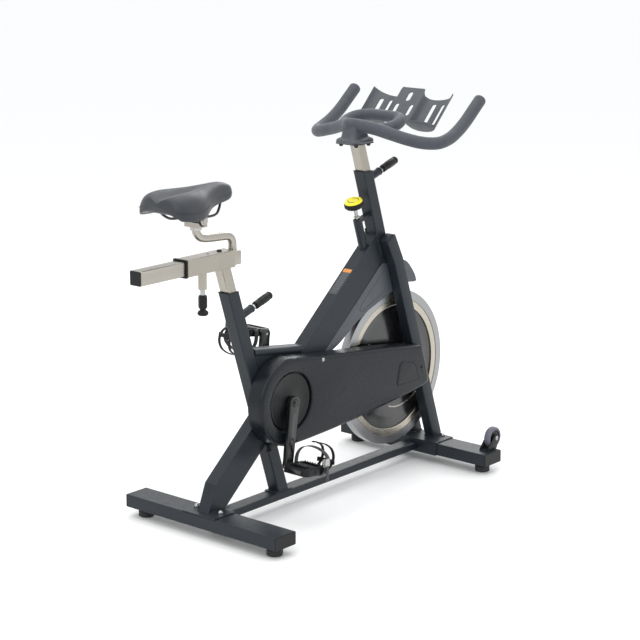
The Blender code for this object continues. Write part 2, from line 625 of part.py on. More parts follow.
# ------------------------------------------------------------- flywheel
fwm = frame((FW_X, 0, FW_Z), (0, 0, -1), (1, 0, 0))
turned("flywheel_disc",
       [(0.0103, -0.0330), (0.0240, -0.0330), (0.0240, -0.0075), (DISC_R, -0.0070), (DISC_R, 0.0070),
        (0.0240, 0.0075), (0.0240, 0.0330), (0.0103, 0.0330)],
       fwm, "black_plastic", 40)
turned("flywheel_ring",
       [(DISC_R + FIT, -0.0100), (0.2070, -0.0120), (0.2080, -0.0140), (FW_R, -0.0140), (FW_R, 0.0140),
        (0.2080, 0.0140), (0.2070, 0.0120), (DISC_R + FIT, 0.0100)],
       fwm, "machined_steel", 56)
cyl("flywheel_axle", (FW_X, -0.0695, FW_Z), (FW_X, 0.0580, FW_Z), 0.0100, "machined_steel", 20)

# ------------------------------------------------------- belt covers
COV_Y0, COV_Y1, COV_T = -0.0740, -0.0238, 0.0025
COV_R = 0.1250


def cover_outline(off=0.0):
    r = COV_R + off
    pts = arc(BB_X, BB_Z, r, 268, 84, 22)
    pts += [(-0.0559, 0.4371 + off), (0.1125, 0.4177 + off), (0.2700, 0.3990 + off), (0.3950, 0.3810 + off)]
    pts += [(0.4170 + off, 0.3760 + off * 0.6), (0.4240 + off, 0.3660)]
    pts += [(0.4485 + off, 0.3019), (0.4560 + off, 0.2640), (0.4530 + off, 0.2560 - off * 0.4)]
    pts += [(0.4261, 0.2475 - off), (0.3500, 0.2370 - off), (0.2600, 0.2285 - off), (0.1200, 0.2160 - off),
            (0.0000, 0.2085 - off), (-0.1000, 0.2045 - off)]
    return pts




def pan(name, rim, inside, hole, y0, y1, t, mat):
    """Shallow open tray: face at y0 with a hole, walls back to y1."""
    b = bmesh.new()

    def loop(pts, y):
        vs_ = [b.verts.new((x, y, z)) for x, z in pts]
        return vs_, [b.edges.new((vs_[i], vs_[(i + 1) % len(vs_)])) for i in range(len(vs_))]

    (o0, oe), (h0, he) = loop(rim, y0), loop(hole, y0)
    (i0, ie), (g0, ge) = loop(inside, y0 + t), loop(hole, y0 + t)
    o1, _ = loop(rim, y1)
    i1, _ = loop(inside, y1)
    bmesh.ops.triangle_fill(b, use_beauty=True, use_dissolve=False, edges=oe + he)
    bmesh.ops.triangle_fill(b, use_beauty=True, use_dissolve=False, edges=ie + ge)
    for p, q in ((o0, o1), (o1, i1), (i1, i0), (h0, g0)):
        for k in range(len(p)):
            j = (k + 1) % len(p)
            b.faces.new((p[k], p[j], q[j], q[k]))
    bmesh.ops.recalc_face_normals(b, faces=b.faces)
    me_ = bpy.data.meshes.new(name)
    b.to_mesh(me_)
    b.free()
    return link(name, me_, mat)


cov = pan("belt_cover_outer", cover_outline(), cover_outline(-COV_T), circle(BB_X, BB_Z, 0.0856, 40),
          COV_Y0, COV_Y1, COV_T, "cover_plastic")
# notch where the right fork leg passes behind the cover's face
lb = Vector((BEND.x, -(LEG_IN + LEG_W / 2), BEND.z))
lf = Vector((LEG_FOOT.x, -(LEG_IN + LEG_W / 2), LEG_FOOT.z))
cut(cov, slab("notch", lb, lf, LEG_D + 0.004, LEG_W + 0.003))
cut(cov, box("front", (FW_X + 0.0500, -0.0560, 0.20), (0.50, 0.0, 0.42), None))

inn = [p for p in cover_outline(-0.0005) if p[0] < 0.39]
ci = prism("belt_cover_inner",
           [arc(BB_X, BB_Z, COV_R - 0.0035, 268, 84, 22)
            + [(-0.0559, 0.4335), (0.1125, 0.4141), (0.2700, 0.3954), (0.3900, 0.3785), (0.3990, 0.3600),
               (0.3990, 0.2500), (0.3500, 0.2406), (0.2600, 0.2321), (0.1200, 0.2196), (0.0000, 0.2121), (-0.1000, 0.2081)],
            circle(BB_X, BB_Z, 0.0240, 28), circle(FW_X, FW_Z, 0.0270, 24)],
           0.0020, side(-0.0218), "black_plastic")

# ------------------------------------------------------ flywheel guard
guard_o = [(0.0300, 0.4040), (0.0735, 0.4238), (0.0980, 0.4337), (0.1355, 0.4575), (0.1793, 0.4837), (0.2300, 0.5080), (0.2846, 0.5273),
           (0.3197, 0.5374), (0.3600, 0.5520), (0.4057, 0.5630), (0.4569, 0.5560), (0.4480, 0.5790), (0.4321, 0.6038), (0.4114, 0.6250), (0.3741, 0.6390),
           (0.3400, 0.6380), (0.2950, 0.6280)]
g1 = beam_pt(0.30, -HD - FIT)
g_hi = hit(beam_pt(0, -HD - 2 * FIT), BEAM, Vector((0.2870, 0, 0.60)), Vector((0, 0, 1)))
g_lo = hit(beam_pt(0, -HD - 2 * FIT), BEAM, Vector((0.0300, 0, 0.40)), Vector((0, 0, 1)))
guard_o = guard_o + [(g_hi.x, g_hi.z - 0.004), (g_lo.x, g_lo.z)]
guard = prism("flywheel_guard", [guard_o], 0.0410, side(), "grey_plastic")
guard_i = [(0.0960, 0.4000), (0.2200, 0.4600), (0.2900, 0.4950), (0.3655, 0.5300), (0.4700, 0.5200), (0.4520, 0.5560), (0.4455, 0.5775),
           (0.4300, 0.6015), (0.4100, 0.6222), (0.3730, 0.6360), (0.3660, 0.6355), (0.3400, 0.6500), (0.2500, 0.6500),
           (0.0960, 0.4700)]
cut(guard, prism("void", [guard_i], 0.0366, side(), None))

# ---------------------------------------------------- bushings in mouths
for nm, p in (("seat_tube_bushing", Vector((seat_axis(SEAT_Z), 0, SEAT_Z))),
              ("head_tube_bushing", Vector((head_axis(HEAD_Z), 0, HEAD_Z)))):
    b = square_tube(nm, p - AX * 0.040, p + AX * 0.020, TUBE - 2 * WALL - 2 * FIT, TUBE - 2 * WALL - 2 * FIT, 0,
                    "black_plastic")
    cut(b, slab("bore", p - AX * 0.06, p + AX * 0.06, POST + 2 * FIT, POST + 2 * FIT))
    lip = box("lip", (p.x - 0.0210, -0.0200, p.z + FIT), (p.x + 0.0210, 0.0200, p.z + 0.0022), "black_plastic")
    cut(lip, slab("bore", p - AX * 0.06, p + AX * 0.06, POST + 2 * FIT, POST + 2 * FIT))
    cut(b, box("level", (-1, -1, p.z + 0.0022), (1, 1, 2), None))
    weld(b, lip)
    pin = PIN_S if nm.startswith("seat") else PIN_H
    cut(b, cyl("bore", tuple(pin), tuple(pin + OUT * 0.04), PIN_ROD_R + 0.0008, None, 14))

# ---------------------------------------------- seat post and slider
sl0, sl1 = SLIDE_Z - SLEEVE_S / 2, SLIDE_Z + SLEEVE_S / 2
post_top = Vector((seat_axis(sl0 + 0.002), 0, sl0 + 0.002))
sleeve = prism("seat_post", [rrect(0, 0, SLEEVE_S, SLEEVE_S + 0.001, 0.0035, 2)], SLEEVE_X1 - SLEEVE_X0,
               frame(((SLEEVE_X0 + SLEEVE_X1) / 2, 0, SLIDE_Z), (0, 0, 1), (0, 1, 0)), "satin_steel")
sp_ = square_tube("post", post_top + AX * 0.010, post_top - AX * 0.300, POST, POST, 0, "satin_steel")
cut(sp_, slab("hollow", post_top - AX * 0.012, post_top - AX * 0.35, POST - 2 * WALL, POST - 2 * WALL))
cut(sp_, box("level", (-1, -1, sl0 + 0.001), (1, 1, 2), None))
weld(sleeve, sp_)
weld(sleeve, cyl("boss", (SPIN_X, 0, sl0 + 0.001), (SPIN_X, 0, sl0 - 0.046), 0.0115, "satin_steel", 20))
cut(sleeve, box("bore", (SLEEVE_X0 - 0.01, -0.0203, SLIDE_Z - 0.0203), (SLEEVE_X1 + 0.01, 0.0203, SLIDE_Z + 0.0203), None))
cut(sleeve, cyl("bore", (SPIN_X, 0, SLIDE_Z), (SPIN_X, 0, sl0 - 0.06), PIN_ROD_R + 0.0004, None, 14))
prism("slider_collar", [rrect(0, 0, SLEEVE_S + 0.003, SLEEVE_S + 0.004, 0.004, 2),
                        rrect(0, 0, SLIDE_S + 2 * FIT, SLIDE_S + 2 * FIT, 0.002, 1)],
      0.0060, frame((SLEEVE_X0 - 0.0033, 0, SLIDE_Z), (0, 0, 1), (0, 1, 0)), "black_plastic")

slider = prism("saddle_slider", [rrect(0, 0, SLIDE_S, SLIDE_S, 0.003, 2),
                                 rrect(0, 0, SLIDE_S - 2 * WALL, SLIDE_S - 2 * WALL, 0.0015, 1)],
               SLIDE_X1 - SLIDE_X0, frame(((SLIDE_X0 + SLIDE_X1) / 2, 0, SLIDE_Z), (0, 0, 1), (0, 1, 0)),
               "satin_steel")
SP_R = 0.0110
s_path = smooth_path([(-0.3240, 0, SLIDE_Z + SLIDE_S / 2 - 0.001), (-0.3240, 0, 0.7830), (-0.3270, 0, 0.7980),
                      (-0.3370, 0, 0.8085), (-0.3540, 0, 0.8120), (-0.3950, 0, 0.8145), (-0.4280, 0, 0.8175),
                      (-0.4480, 0, 0.8230), (-0.4590, 0, 0.8340), (-0.4620, 0, 0.8440), (-0.4620, 0, 0.8500)], 0.010)
s_post = tube("s_post", s_path, SP_R, "satin_steel", 2)
weld(slider, s_post)
cap = prism("slider_end_cap", [rrect(0, 0, SLIDE_S, SLIDE_S, 0.003, 2)], 0.0025,
            frame((SLIDE_X0 - FIT - 0.00125, 0, SLIDE_Z), (0, 0, 1), (0, 1, 0)), "black_plastic")
plug = prism("plug", [rrect(0, 0, SLIDE_S - 2 * WALL - 2 * FIT, SLIDE_S - 2 * WALL - 2 * FIT, 0.0015, 1)], 0.014,
             frame((SLIDE_X0 + 0.0055, 0, SLIDE_Z), (0, 0, 1), (0, 1, 0)), "black_plastic")
weld(cap, plug)

# saddle clamp: lower saddle piece over the post's end, gripping both rails
CL_X, RAIL_H, RAIL_Y, RAIL_R = -0.4620, 0.8790, 0.0220, 0.0035
PIVOT_Z, PIVOT_R = 0.8715, 0.0150
clamp = box("saddle_clamp", (CL_X - 0.0165, -0.0260, 0.8530), (CL_X + 0.0165, 0.0260, 0.8665), "satin_steel")
weld(clamp, cyl("socket", (CL_X, 0, 0.8440), (CL_X, 0, 0.8560), 0.0150, "satin_steel", 24))
cut(clamp, cyl("bore", (CL_X, 0, 0.83), (CL_X, 0, 0.8516), SP_R + 0.0012, None, 20))
cut(clamp, cyl("seat", (CL_X, -0.04, PIVOT_Z), (CL_X, 0.04, PIVOT_Z), PIVOT_R + 0.0006, None, 32))

# ------------------------------------------------------ saddle and rails
rail = None
for s in (1, -1):
    path = smooth_path([(-0.5620, s * 0.0300, 0.9110), (-0.5590, s * 0.0290, 0.8990), (-0.5420, s * 0.0240, 0.8850),
                        (-0.5180, s * RAIL_Y, RAIL_H), (-0.4600, s * RAIL_Y, RAIL_H), (-0.4150, s * RAIL_Y, RAIL_H),
                        (-0.3960, s * 0.0175, 0.8870), (-0.3820, s * 0.0120, 0.9040), (-0.3800, s * 0.0080, 0.9150)], 0.014)
    r_ = tube("saddle_rails" if rail is None else "rail_b", path, RAIL_R, "black_plastic", 2)
    rail = r_ if rail is None else weld(rail, cyl("tie", (-0.3800, -0.0100, 0.9120), (-0.3800, 0.0100, 0.9120), 0.0036,
                                                  "black_plastic", 10), r_)
bridge = cyl("bridge", (CL_X, -0.0280, PIVOT_Z), (CL_X, 0.0280, PIVOT_Z), PIVOT_R, "black_plastic", 24)
weld(rail, bridge)

# saddle body: lofted sections, two rear lobes narrowing to the nose
SAD = [  # x, half width, crown height, lobe height, edge height, underside height
    (-0.6020, 0.034, 0.9360, 0.9380, 0.9280, 0.9170), (-0.5960, 0.062, 0.9420, 0.9470, 0.9210, 0.9060),
    (-0.5780, 0.083, 0.9455, 0.9520, 0.9100, 0.9140), (-0.5550, 0.091, 0.9475, 0.9545, 0.9010, 0.9200),
    (-0.5280, 0.090, 0.9490, 0.9545, 0.8960, 0.9230), (-0.5000, 0.078, 0.9510, 0.9535, 0.8990, 0.9240),
    (-0.4720, 0.060, 0.9530, 0.9535, 0.9080, 0.9240), (-0.4420, 0.045, 0.9555, 0.9550, 0.9130, 0.9240),
    (-0.4080, 0.034, 0.9585, 0.9570, 0.9120, 0.9250), (-0.3740, 0.028, 0.9585, 0.9570, 0.9120, 0.9260),
    (-0.3480, 0.023, 0.9520, 0.9500, 0.9180, 0.9260), (-0.3340, 0.012, 0.9420, 0.9410, 0.9280, 0.9300)]
bm = bmesh.new()
rings = []
for x, w, c, lobe, e, u in SAD:
    pts = [(0, c), (w * 0.30, (c + lobe) / 2 + 0.0005), (w * 0.58, lobe), (w * 0.82, lobe - (lobe - e) * 0.22),
           (w * 0.97, lobe - (lobe - e) * 0.55), (w, e + 0.006), (w * 0.965, e), (w * 0.90, e + 0.004),
           (w * 0.60, (e + u) / 2 + 0.004), (w * 0.30, u), (0, u)]
    ring = [bm.verts.new((x, y, z)) for y, z in pts] + [bm.verts.new((x, -y, z)) for y, z in pts[-2:0:-1]]
    rings.append(ring)
for a, b in zip(rings[:-1], rings[1:]):
    n = len(a)
    for i in range(n):
        bm.faces.new((a[i], a[(i + 1) % n], b[(i + 1) % n], b[i]))
bm.faces.new(rings[0])
bm.faces.new(rings[-1][::-1])
bmesh.ops.recalc_face_normals(bm, faces=bm.faces)
me = bpy.data.meshes.new("saddle")
bm.to_mesh(me)
bm.free()
sad = link("saddle", me, "saddle_skin")
md = sad.modifiers.new("soft", "SUBSURF")
md.levels = 1
md.render_levels = 1
sad.data = to_mesh(sad)
sad.modifiers.clear()
sad.data.materials.clear()
sad.data.materials.append(MATS["saddle_skin"])
sweep = rail.copy()
sweep.data = rail.data.copy()
COLL.objects.link(sweep)
sweep.hide_render = True
sweep.display_type = "WIRE"
pocket_r = box("pocket", (-0.5680, -0.0350, 0.9000), (-0.5550, 0.0350, 0.9135), None)
pocket_f = box("pocket", (-0.3850, -0.0150, 0.9000), (-0.3750, 0.0150, 0.9200), None)
bpy.data.objects.remove(sweep, do_unlink=True)
cut(sad, pocket_r, pocket_f)

# ------------------------------------------- handlebar post and mount
hp = square_tube("handlebar_post", Vector((head_axis(1.0020), 0, 1.0020)), Vector((head_axis(0.7250), 0, 0.7250)),
                 POST, POST, WALL, "satin_steel")
cut(hp, box("level", (-1, -1, 1.0010), (1, 1, 2), None))
MX = 0.1875
mount = prism("handlebar_mount", [rrect(0, 0, 0.0980, 0.0860, 0.018, 4)], 0.0120,
              frame((MX, 0, 1.0078), (1, 0, 0), (0, 1, 0)), "powder_coat")
neck = prism("neck", [[(MX - 0.0300, 1.0120), (MX + 0.0360, 1.0120), (MX + 0.0270, 1.0480), (MX - 0.0335, 1.0480)]],
             0.0500, side(), "powder_coat")
weld(mount, neck)

bar_half = [(0.1660, 0, 1.0550), (0.1830, 0.0220, 1.0515), (0.2030, 0.0600, 1.0430), (0.2210, 0.1050, 1.0300),
            (0.2330, 0.1500, 1.0190), (0.2520, 0.1900, 1.0105), (0.2840, 0.2190, 1.0085), (0.3220, 0.2290, 1.0170),
            (0.3600, 0.2300, 1.0330), (0.4000, 0.2300, 1.0580), (0.4380, 0.2300, 1.0885), (0.4757, 0.2300, 1.1190)]
full = [(x, -y, z) for x, y, z in bar_half[:0:-1]] + bar_half
hb = tube("handlebar", smooth_path(full, 0.030), BAR_R, "bar_foam", 2)
loop_half = [(0.3170, 0, 1.0640), (0.3160, 0.0350, 1.0640), (0.3080, 0.0640, 1.0625), (0.2880, 0.0830, 1.0580),
             (0.2600, 0.0880, 1.0500), (0.2320, 0.0780, 1.0430), (0.2080, 0.0600, 1.0420)]
lp = [(x, -y, z) for x, y, z in loop_half[:0:-1]] + loop_half
weld(hb, tube("loop", smooth_path(lp, 0.030), BAR_R * 0.96, "bar_foam", 2))
for s_ in (1, -1):
    cut(mount, cyl("cradle", (0.1600, -s_ * 0.0100, 1.0561), (0.1935, s_ * 0.0430, 1.0475), BAR_R + 0.0026 + s_ * 0.0003, None, 27 + s_))
cut(mount, cyl("cradle", (0.1663, -0.0310, 1.0556), (0.1663, 0.0310, 1.0556), BAR_R + 0.0021, None, 25))

# ------------------------------------------------- sheet holder
HU = Vector((0.70, 0, 0.715)).normalized()       # up along the leaning sheet
HN = Vector((-0.715, 0, 0.70)).normalized()      # its face, towards the rider
H0 = Vector((0.3780, 0, 1.0460))
prof = [(0.0, 0.0), (0.0400, 0.0), (0.0440, -0.0030), (0.0530, -0.0160), (0.0660, -0.0235), (0.0850, -0.0265),
        (0.1060, -0.0250), (0.1250, -0.0190), (0.1380, -0.0090), (0.1450, 0.0010)]
prof = [(-a, b) for a, b in prof[:0:-1]] + prof
bm = bmesh.new()
rows = []
for k in range(2):
    row = []
    for a, b in prof:
        lo_ = -0.002 if abs(a) <= 0.0441 else -0.012
        hi_ = 0.118 if abs(a) <= 0.0441 else 0.098 + 0.012 * max(0.0, (abs(a) - 0.06) / 0.085)
        t = lo_ if k == 0 else hi_
        row.append(bm.verts.new(H0 + HU * t + HN * b + Vector((0, a, 0))))
    rows.append(row)
for i in range(len(prof) - 1):
    bm.faces.new((rows[0][i], rows[0][i + 1], rows[1][i + 1], rows[1][i]))
me = bpy.data.meshes.new("tablet_holder")
bm.to_mesh(me)
bm.free()
hold = link("tablet_holder", me, "powder_coat")
md = hold.modifiers.new("sheet", "SOLIDIFY")
md.thickness = 0.0026
md.offset = 0.0
md.use_even_offset = True
hold.data = to_mesh(hold)
hold.modifiers.clear()
hold.data.materials.clear()
hold.data.materials.append(MATS["powder_coat"])


def slot(y, u0, u1, w, depth=-0.012):
    a = H0 + HU * (u0 + w / 2) + Vector((0, y, 0))
    m = frame(a + HU * (u1 - u0 - w) / 2 + HN * depth, HU, (0, 1, 0))
    half = (u1 - u0 - w) / 2
    loop = arc(half, 0, w / 2, -90, 90, 5) + arc(-half, 0, w / 2, 90, 270, 5)
    return prism("slot", [loop], 0.060, m, None)


cut(hold, slot(0.0, 0.070, 0.103, 0.016), slot(0.0260, 0.018, 0.058, 0.013), slot(-0.0260, 0.018, 0.058, 0.013))
for s in (1, -1):
    cut(hold, slot(s * 0.0800, 0.010, 0.086, 0.013), slot(s * 0.1130, 0.010, 0.086, 0.013))
    # closed lower end of each cradle
    tray_o = [(s * a, b) for a, b in ((0.0400, 0.0), (0.0530, -0.0160), (0.0660, -0.0235), (0.0850, -0.0265),
                                      (0.1060, -0.0250), (0.1250, -0.0190), (0.1380, -0.0090), (0.1450, 0.0010))]
    tray = prism("tray", [tray_o + [(s * 0.1400, 0.0120), (s * 0.1150, 0.0200), (s * 0.0700, 0.0200), (s * 0.0450, 0.0120)]],
                 0.0026, frame(H0 + HU * -0.0110, (0, 1, 0), tuple(HN)), "powder_coat")
    weld(hold, tray)
arm = slab("arm", H0 + HU * 0.022 - HN * 0.0005, Vector((0.3120, 0, 1.0800)), 0.0030, 0.0300)
arm2 = box("arm", (0.3380, -0.0150, 1.0560), (0.3895, 0.0150, 1.0590), "powder_coat")
bpy.data.objects.remove(arm, do_unlink=True)
post_c = box("saddle_block", (0.3270, -0.0145, 1.0540), (0.3440, 0.0145, 1.0740), "powder_coat")
weld(hold, arm2, post_c)
cut(hold, tube("loopcut", smooth_path(lp, 0.030), BAR_R * 0.96 + FIT, None, 2))

# ------------------------------------------------------- brake and knob
rod_end = rod_top - AX * 0.2360
KN = rod_top + AX * 0.0300
rod = cyl("brake_rod", tuple(rod_end), tuple(rod_top + AX * 0.0340), 0.0050, "machined_steel", 14)
weld(rod, cyl("nut", tuple(rod_end - AX * 0.006), tuple(rod_end + AX * 0.006), 0.0100, "machined_steel", 6))
kn = turned("resistance_knob",
            [(0, 0.0), (0.0120, 0.0), (0.0120, 0.0030), (0.0270, 0.0090), (0.0270, 0.0240), (0.0250, 0.0280), (0, 0.0300)],
            frame(rod_top + AX * 0.0260, (0, 1, 0), tuple(AX.cross(Vector((0, 1, 0))))), "yellow_cap", 24)
cut(kn, cyl("bore", tuple(rod_top), tuple(rod_top + AX * 0.0350), 0.0053, None, 16))
# felt pad shaped to the flywheel's rim
pad_c = rod_end - AX * 0.0065
pad = slab("brake_pad", pad_c - AX * 0.0002, pad_c - AX * 0.022, 0.060, 0.024, COLL)
pad.hide_render = False
pad.display_type = "TEXTURED"
pad.data.materials.append(MATS["felt"])
cut(pad, cyl("rim", (FW_X, -0.05, FW_Z), (FW_X, 0.05, FW_Z), FW_R + 0.0060, None, 96))

# ------------------------------------------------------------ pull pins


def pull_pin(name, root, d, tip, knob=False):
    """Plunger: nose in the boss, shank, then the hand grip."""
    d = Vector(d)
    rodp = cyl(name, tuple(root + d * tip), tuple(root + d * 0.070), PIN_ROD_R, "black_plastic", 14)
    g = turned("grip", [(0, 0), (PIN_GRIP_R, 0.001), (PIN_GRIP_R, 0.0620), (PIN_GRIP_R - 0.0025, 0.0655), (0, 0.0660)] if not knob else
               [(0, 0), (PIN_GRIP_R, 0.001), (PIN_GRIP_R, 0.0360), (0.0140, 0.0430),
                (0.0150, 0.0480), (0.0120, 0.0530), (0, 0.0550)],
               frame(root + d * 0.0615, (0, 1, 0), tuple(d.cross(Vector((0, 1, 0))))), "black_plastic", 14)
    return weld(rodp, g)


face = TUBE / 2
pull_pin("pull_pin_seat_height", PIN_S + OUT * face, OUT, -0.0033)
pull_pin("pull_pin_handlebar", PIN_H + OUT * face, OUT, -0.0033)
pull_pin("pull_pin_seat_slide", Vector((SPIN_X, 0, sl0)), (0, 0, -1), -0.0032, True)

# ------------------------------------------------------- transport wheels
for lr, s in (("left", 1), ("right", -1)):
    y = s * WHEEL_Y
    turned(f"transport_wheel_{lr}",
           [(0.0052, -0.0105), (0.0290, -0.0100), (WHEEL_R, -0.0060), (WHEEL_R, 0.0060), (0.0290, 0.0100), (0.0052, 0.0105)],
           frame((WHEEL_X, y, WHEEL_Z), (0, 0, -1), (1, 0, 0)), "wheel_grey", 24)
    base = box(f"transport_bracket_{lr}", (0.4960, y - 0.0145, ST + FIT), (0.5380, y + 0.0145, ST + FIT + 0.0022), "powder_coat")
    for t in (-1, 1):
        yy = y + t * 0.0130
        ear = prism("ear", [[(0.4990, ST + FIT), (0.5380, ST + FIT)] + arc(WHEEL_X, WHEEL_Z, 0.0110, -30, 140, 8)],
                    0.0024, side(yy), "powder_coat")
        weld(base, ear)
    cut(base, cyl("clear", (WHEEL_X, y - 0.0113, WHEEL_Z), (WHEEL_X, y + 0.0113, WHEEL_Z), WHEEL_R + 0.0008, None, 40))
    weld(base, cyl("axle", (WHEEL_X, y - 0.0165, WHEEL_Z), (WHEEL_X, y + 0.0165, WHEEL_Z), 0.0048, "powder_coat", 16))

# ------------------------------------------ place, origins and shading
cen = {}
for o in list(COLL.objects):
    o.data.transform(Matrix.Translation((MID, 0, 0)))
    if o.data.materials and o.data.materials[0] is None:
        o.data.materials.clear()

PIV = {
    "seat_height": (Vector((seat_axis(SEAT_Z) + MID, 0, SEAT_Z)), ["seat_post", "slider_collar"]),
    "seat_slide": (Vector((SLEEVE_X0 + MID, 0, SLIDE_Z)), ["saddle_slider", "slider_end_cap", "saddle_clamp"]),
    "saddle_tilt": (Vector((CL_X + MID, 0, PIVOT_Z)), ["saddle", "saddle_rails"]),
    "handlebar_height": (Vector((head_axis(HEAD_Z) + MID, 0, HEAD_Z)),
                         ["handlebar_post", "handlebar_mount", "handlebar", "tablet_holder"]),
    "flywheel": (Vector((FW_X + MID, 0, FW_Z)), ["flywheel_disc", "flywheel_ring", "flywheel_pulley", "flywheel_axle"]),
    "crank": (Vector((BB_X + MID, 0, BB_Z)), ["crank_axle", "crank_right", "crank_left", "drive_pulley"]),
    "pedal_right": (Vector((BB_X - CRANK_SIN * CRANK_L + MID, 0, BB_Z - CRANK_COS * CRANK_L)),
                    ["pedal_right", "toe_strap_right"]),
    "pedal_left": (Vector((BB_X + CRANK_SIN * CRANK_L + MID, 0, BB_Z + CRANK_COS * CRANK_L)),
                   ["pedal_left", "toe_strap_left"]),
    "brake": (rod_top + Vector((MID, 0, 0)), ["brake_rod", "brake_pad"]),
    "knob": (rod_top + AX * 0.03 + Vector((MID, 0, 0)), ["resistance_knob"]),
    "pin_a": (PIN_S + OUT * 0.06 + Vector((MID, 0, 0)), ["pull_pin_seat_height"]),
    "pin_b": (PIN_H + OUT * 0.06 + Vector((MID, 0, 0)), ["pull_pin_handlebar"]),
    "pin_c": (Vector((SPIN_X + MID, 0, sl0 - 0.05)), ["pull_pin_seat_slide"]),
    "wheel_l": (Vector((WHEEL_X + MID, WHEEL_Y, WHEEL_Z)), ["transport_wheel_left"]),
    "wheel_r": (Vector((WHEEL_X + MID, -WHEEL_Y, WHEEL_Z)), ["transport_wheel_right"]),
}
for tag, sx in (("rear", REAR_STAB_X), ("front", FRONT_STAB_X)):
    for lr, s in (("left", 1), ("right", -1)):
        PIV[f"foot_{tag}_{lr}"] = (Vector((sx + MID, s * FOOT_Y, 0)), [f"{tag}_foot_{lr}"])
for key, (pivot, names) in PIV.items():
    for nm in names:
        o = bpy.data.objects[nm]
        o.data.transform(Matrix.Translation(-pivot))
        o.location = pivot

for o in COLL.objects:
    o.data.shade_smooth()
    o.data.set_sharp_from_angle(angle=math.radians(35))
for o in list(CUT.objects):
    o.hide_render = True
    o.display_type = "WIRE"
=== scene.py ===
"""Looks of the indoor exercise bike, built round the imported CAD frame."""
import bpy
import bmesh
import math
from mathutils import Matrix, Vector


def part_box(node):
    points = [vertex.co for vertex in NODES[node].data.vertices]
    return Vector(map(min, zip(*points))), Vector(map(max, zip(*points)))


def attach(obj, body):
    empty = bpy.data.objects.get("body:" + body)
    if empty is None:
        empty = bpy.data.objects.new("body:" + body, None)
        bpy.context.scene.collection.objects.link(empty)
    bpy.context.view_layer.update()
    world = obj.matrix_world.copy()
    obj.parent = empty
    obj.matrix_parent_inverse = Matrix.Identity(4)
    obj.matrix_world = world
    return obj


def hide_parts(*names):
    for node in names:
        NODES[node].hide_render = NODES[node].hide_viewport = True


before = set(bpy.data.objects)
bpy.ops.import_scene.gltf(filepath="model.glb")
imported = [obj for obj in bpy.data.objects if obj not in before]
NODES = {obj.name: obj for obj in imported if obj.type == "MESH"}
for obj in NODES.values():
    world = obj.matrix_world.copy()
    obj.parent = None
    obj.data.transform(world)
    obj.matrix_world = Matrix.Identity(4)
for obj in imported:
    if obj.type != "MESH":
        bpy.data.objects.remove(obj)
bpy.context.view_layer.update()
MID = 0.0469
AX = Vector((-0.309516, 0.0, 0.950894))      # up along the seat and head tubes
OUT = Vector((0.950894, 0.0, 0.309516))
BEAM = Vector((1, 0, 0.8525)).normalized()
BEAM_UP = Vector((-BEAM.z, 0, BEAM.x))
Y = Vector((0, 1, 0))
Z = Vector((0, 0, 1))


def W(x, y, z):
    return Vector((x + MID, y, z))


def centre(node):
    a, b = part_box(node)
    return (Vector(a) + Vector(b)) / 2


# ============================================================ materials
def nodes_of(name):
    m = bpy.data.materials.new(name)
    m.use_nodes = True
    t = m.node_tree
    return m, t, t.nodes["Principled BSDF"], t.links.new


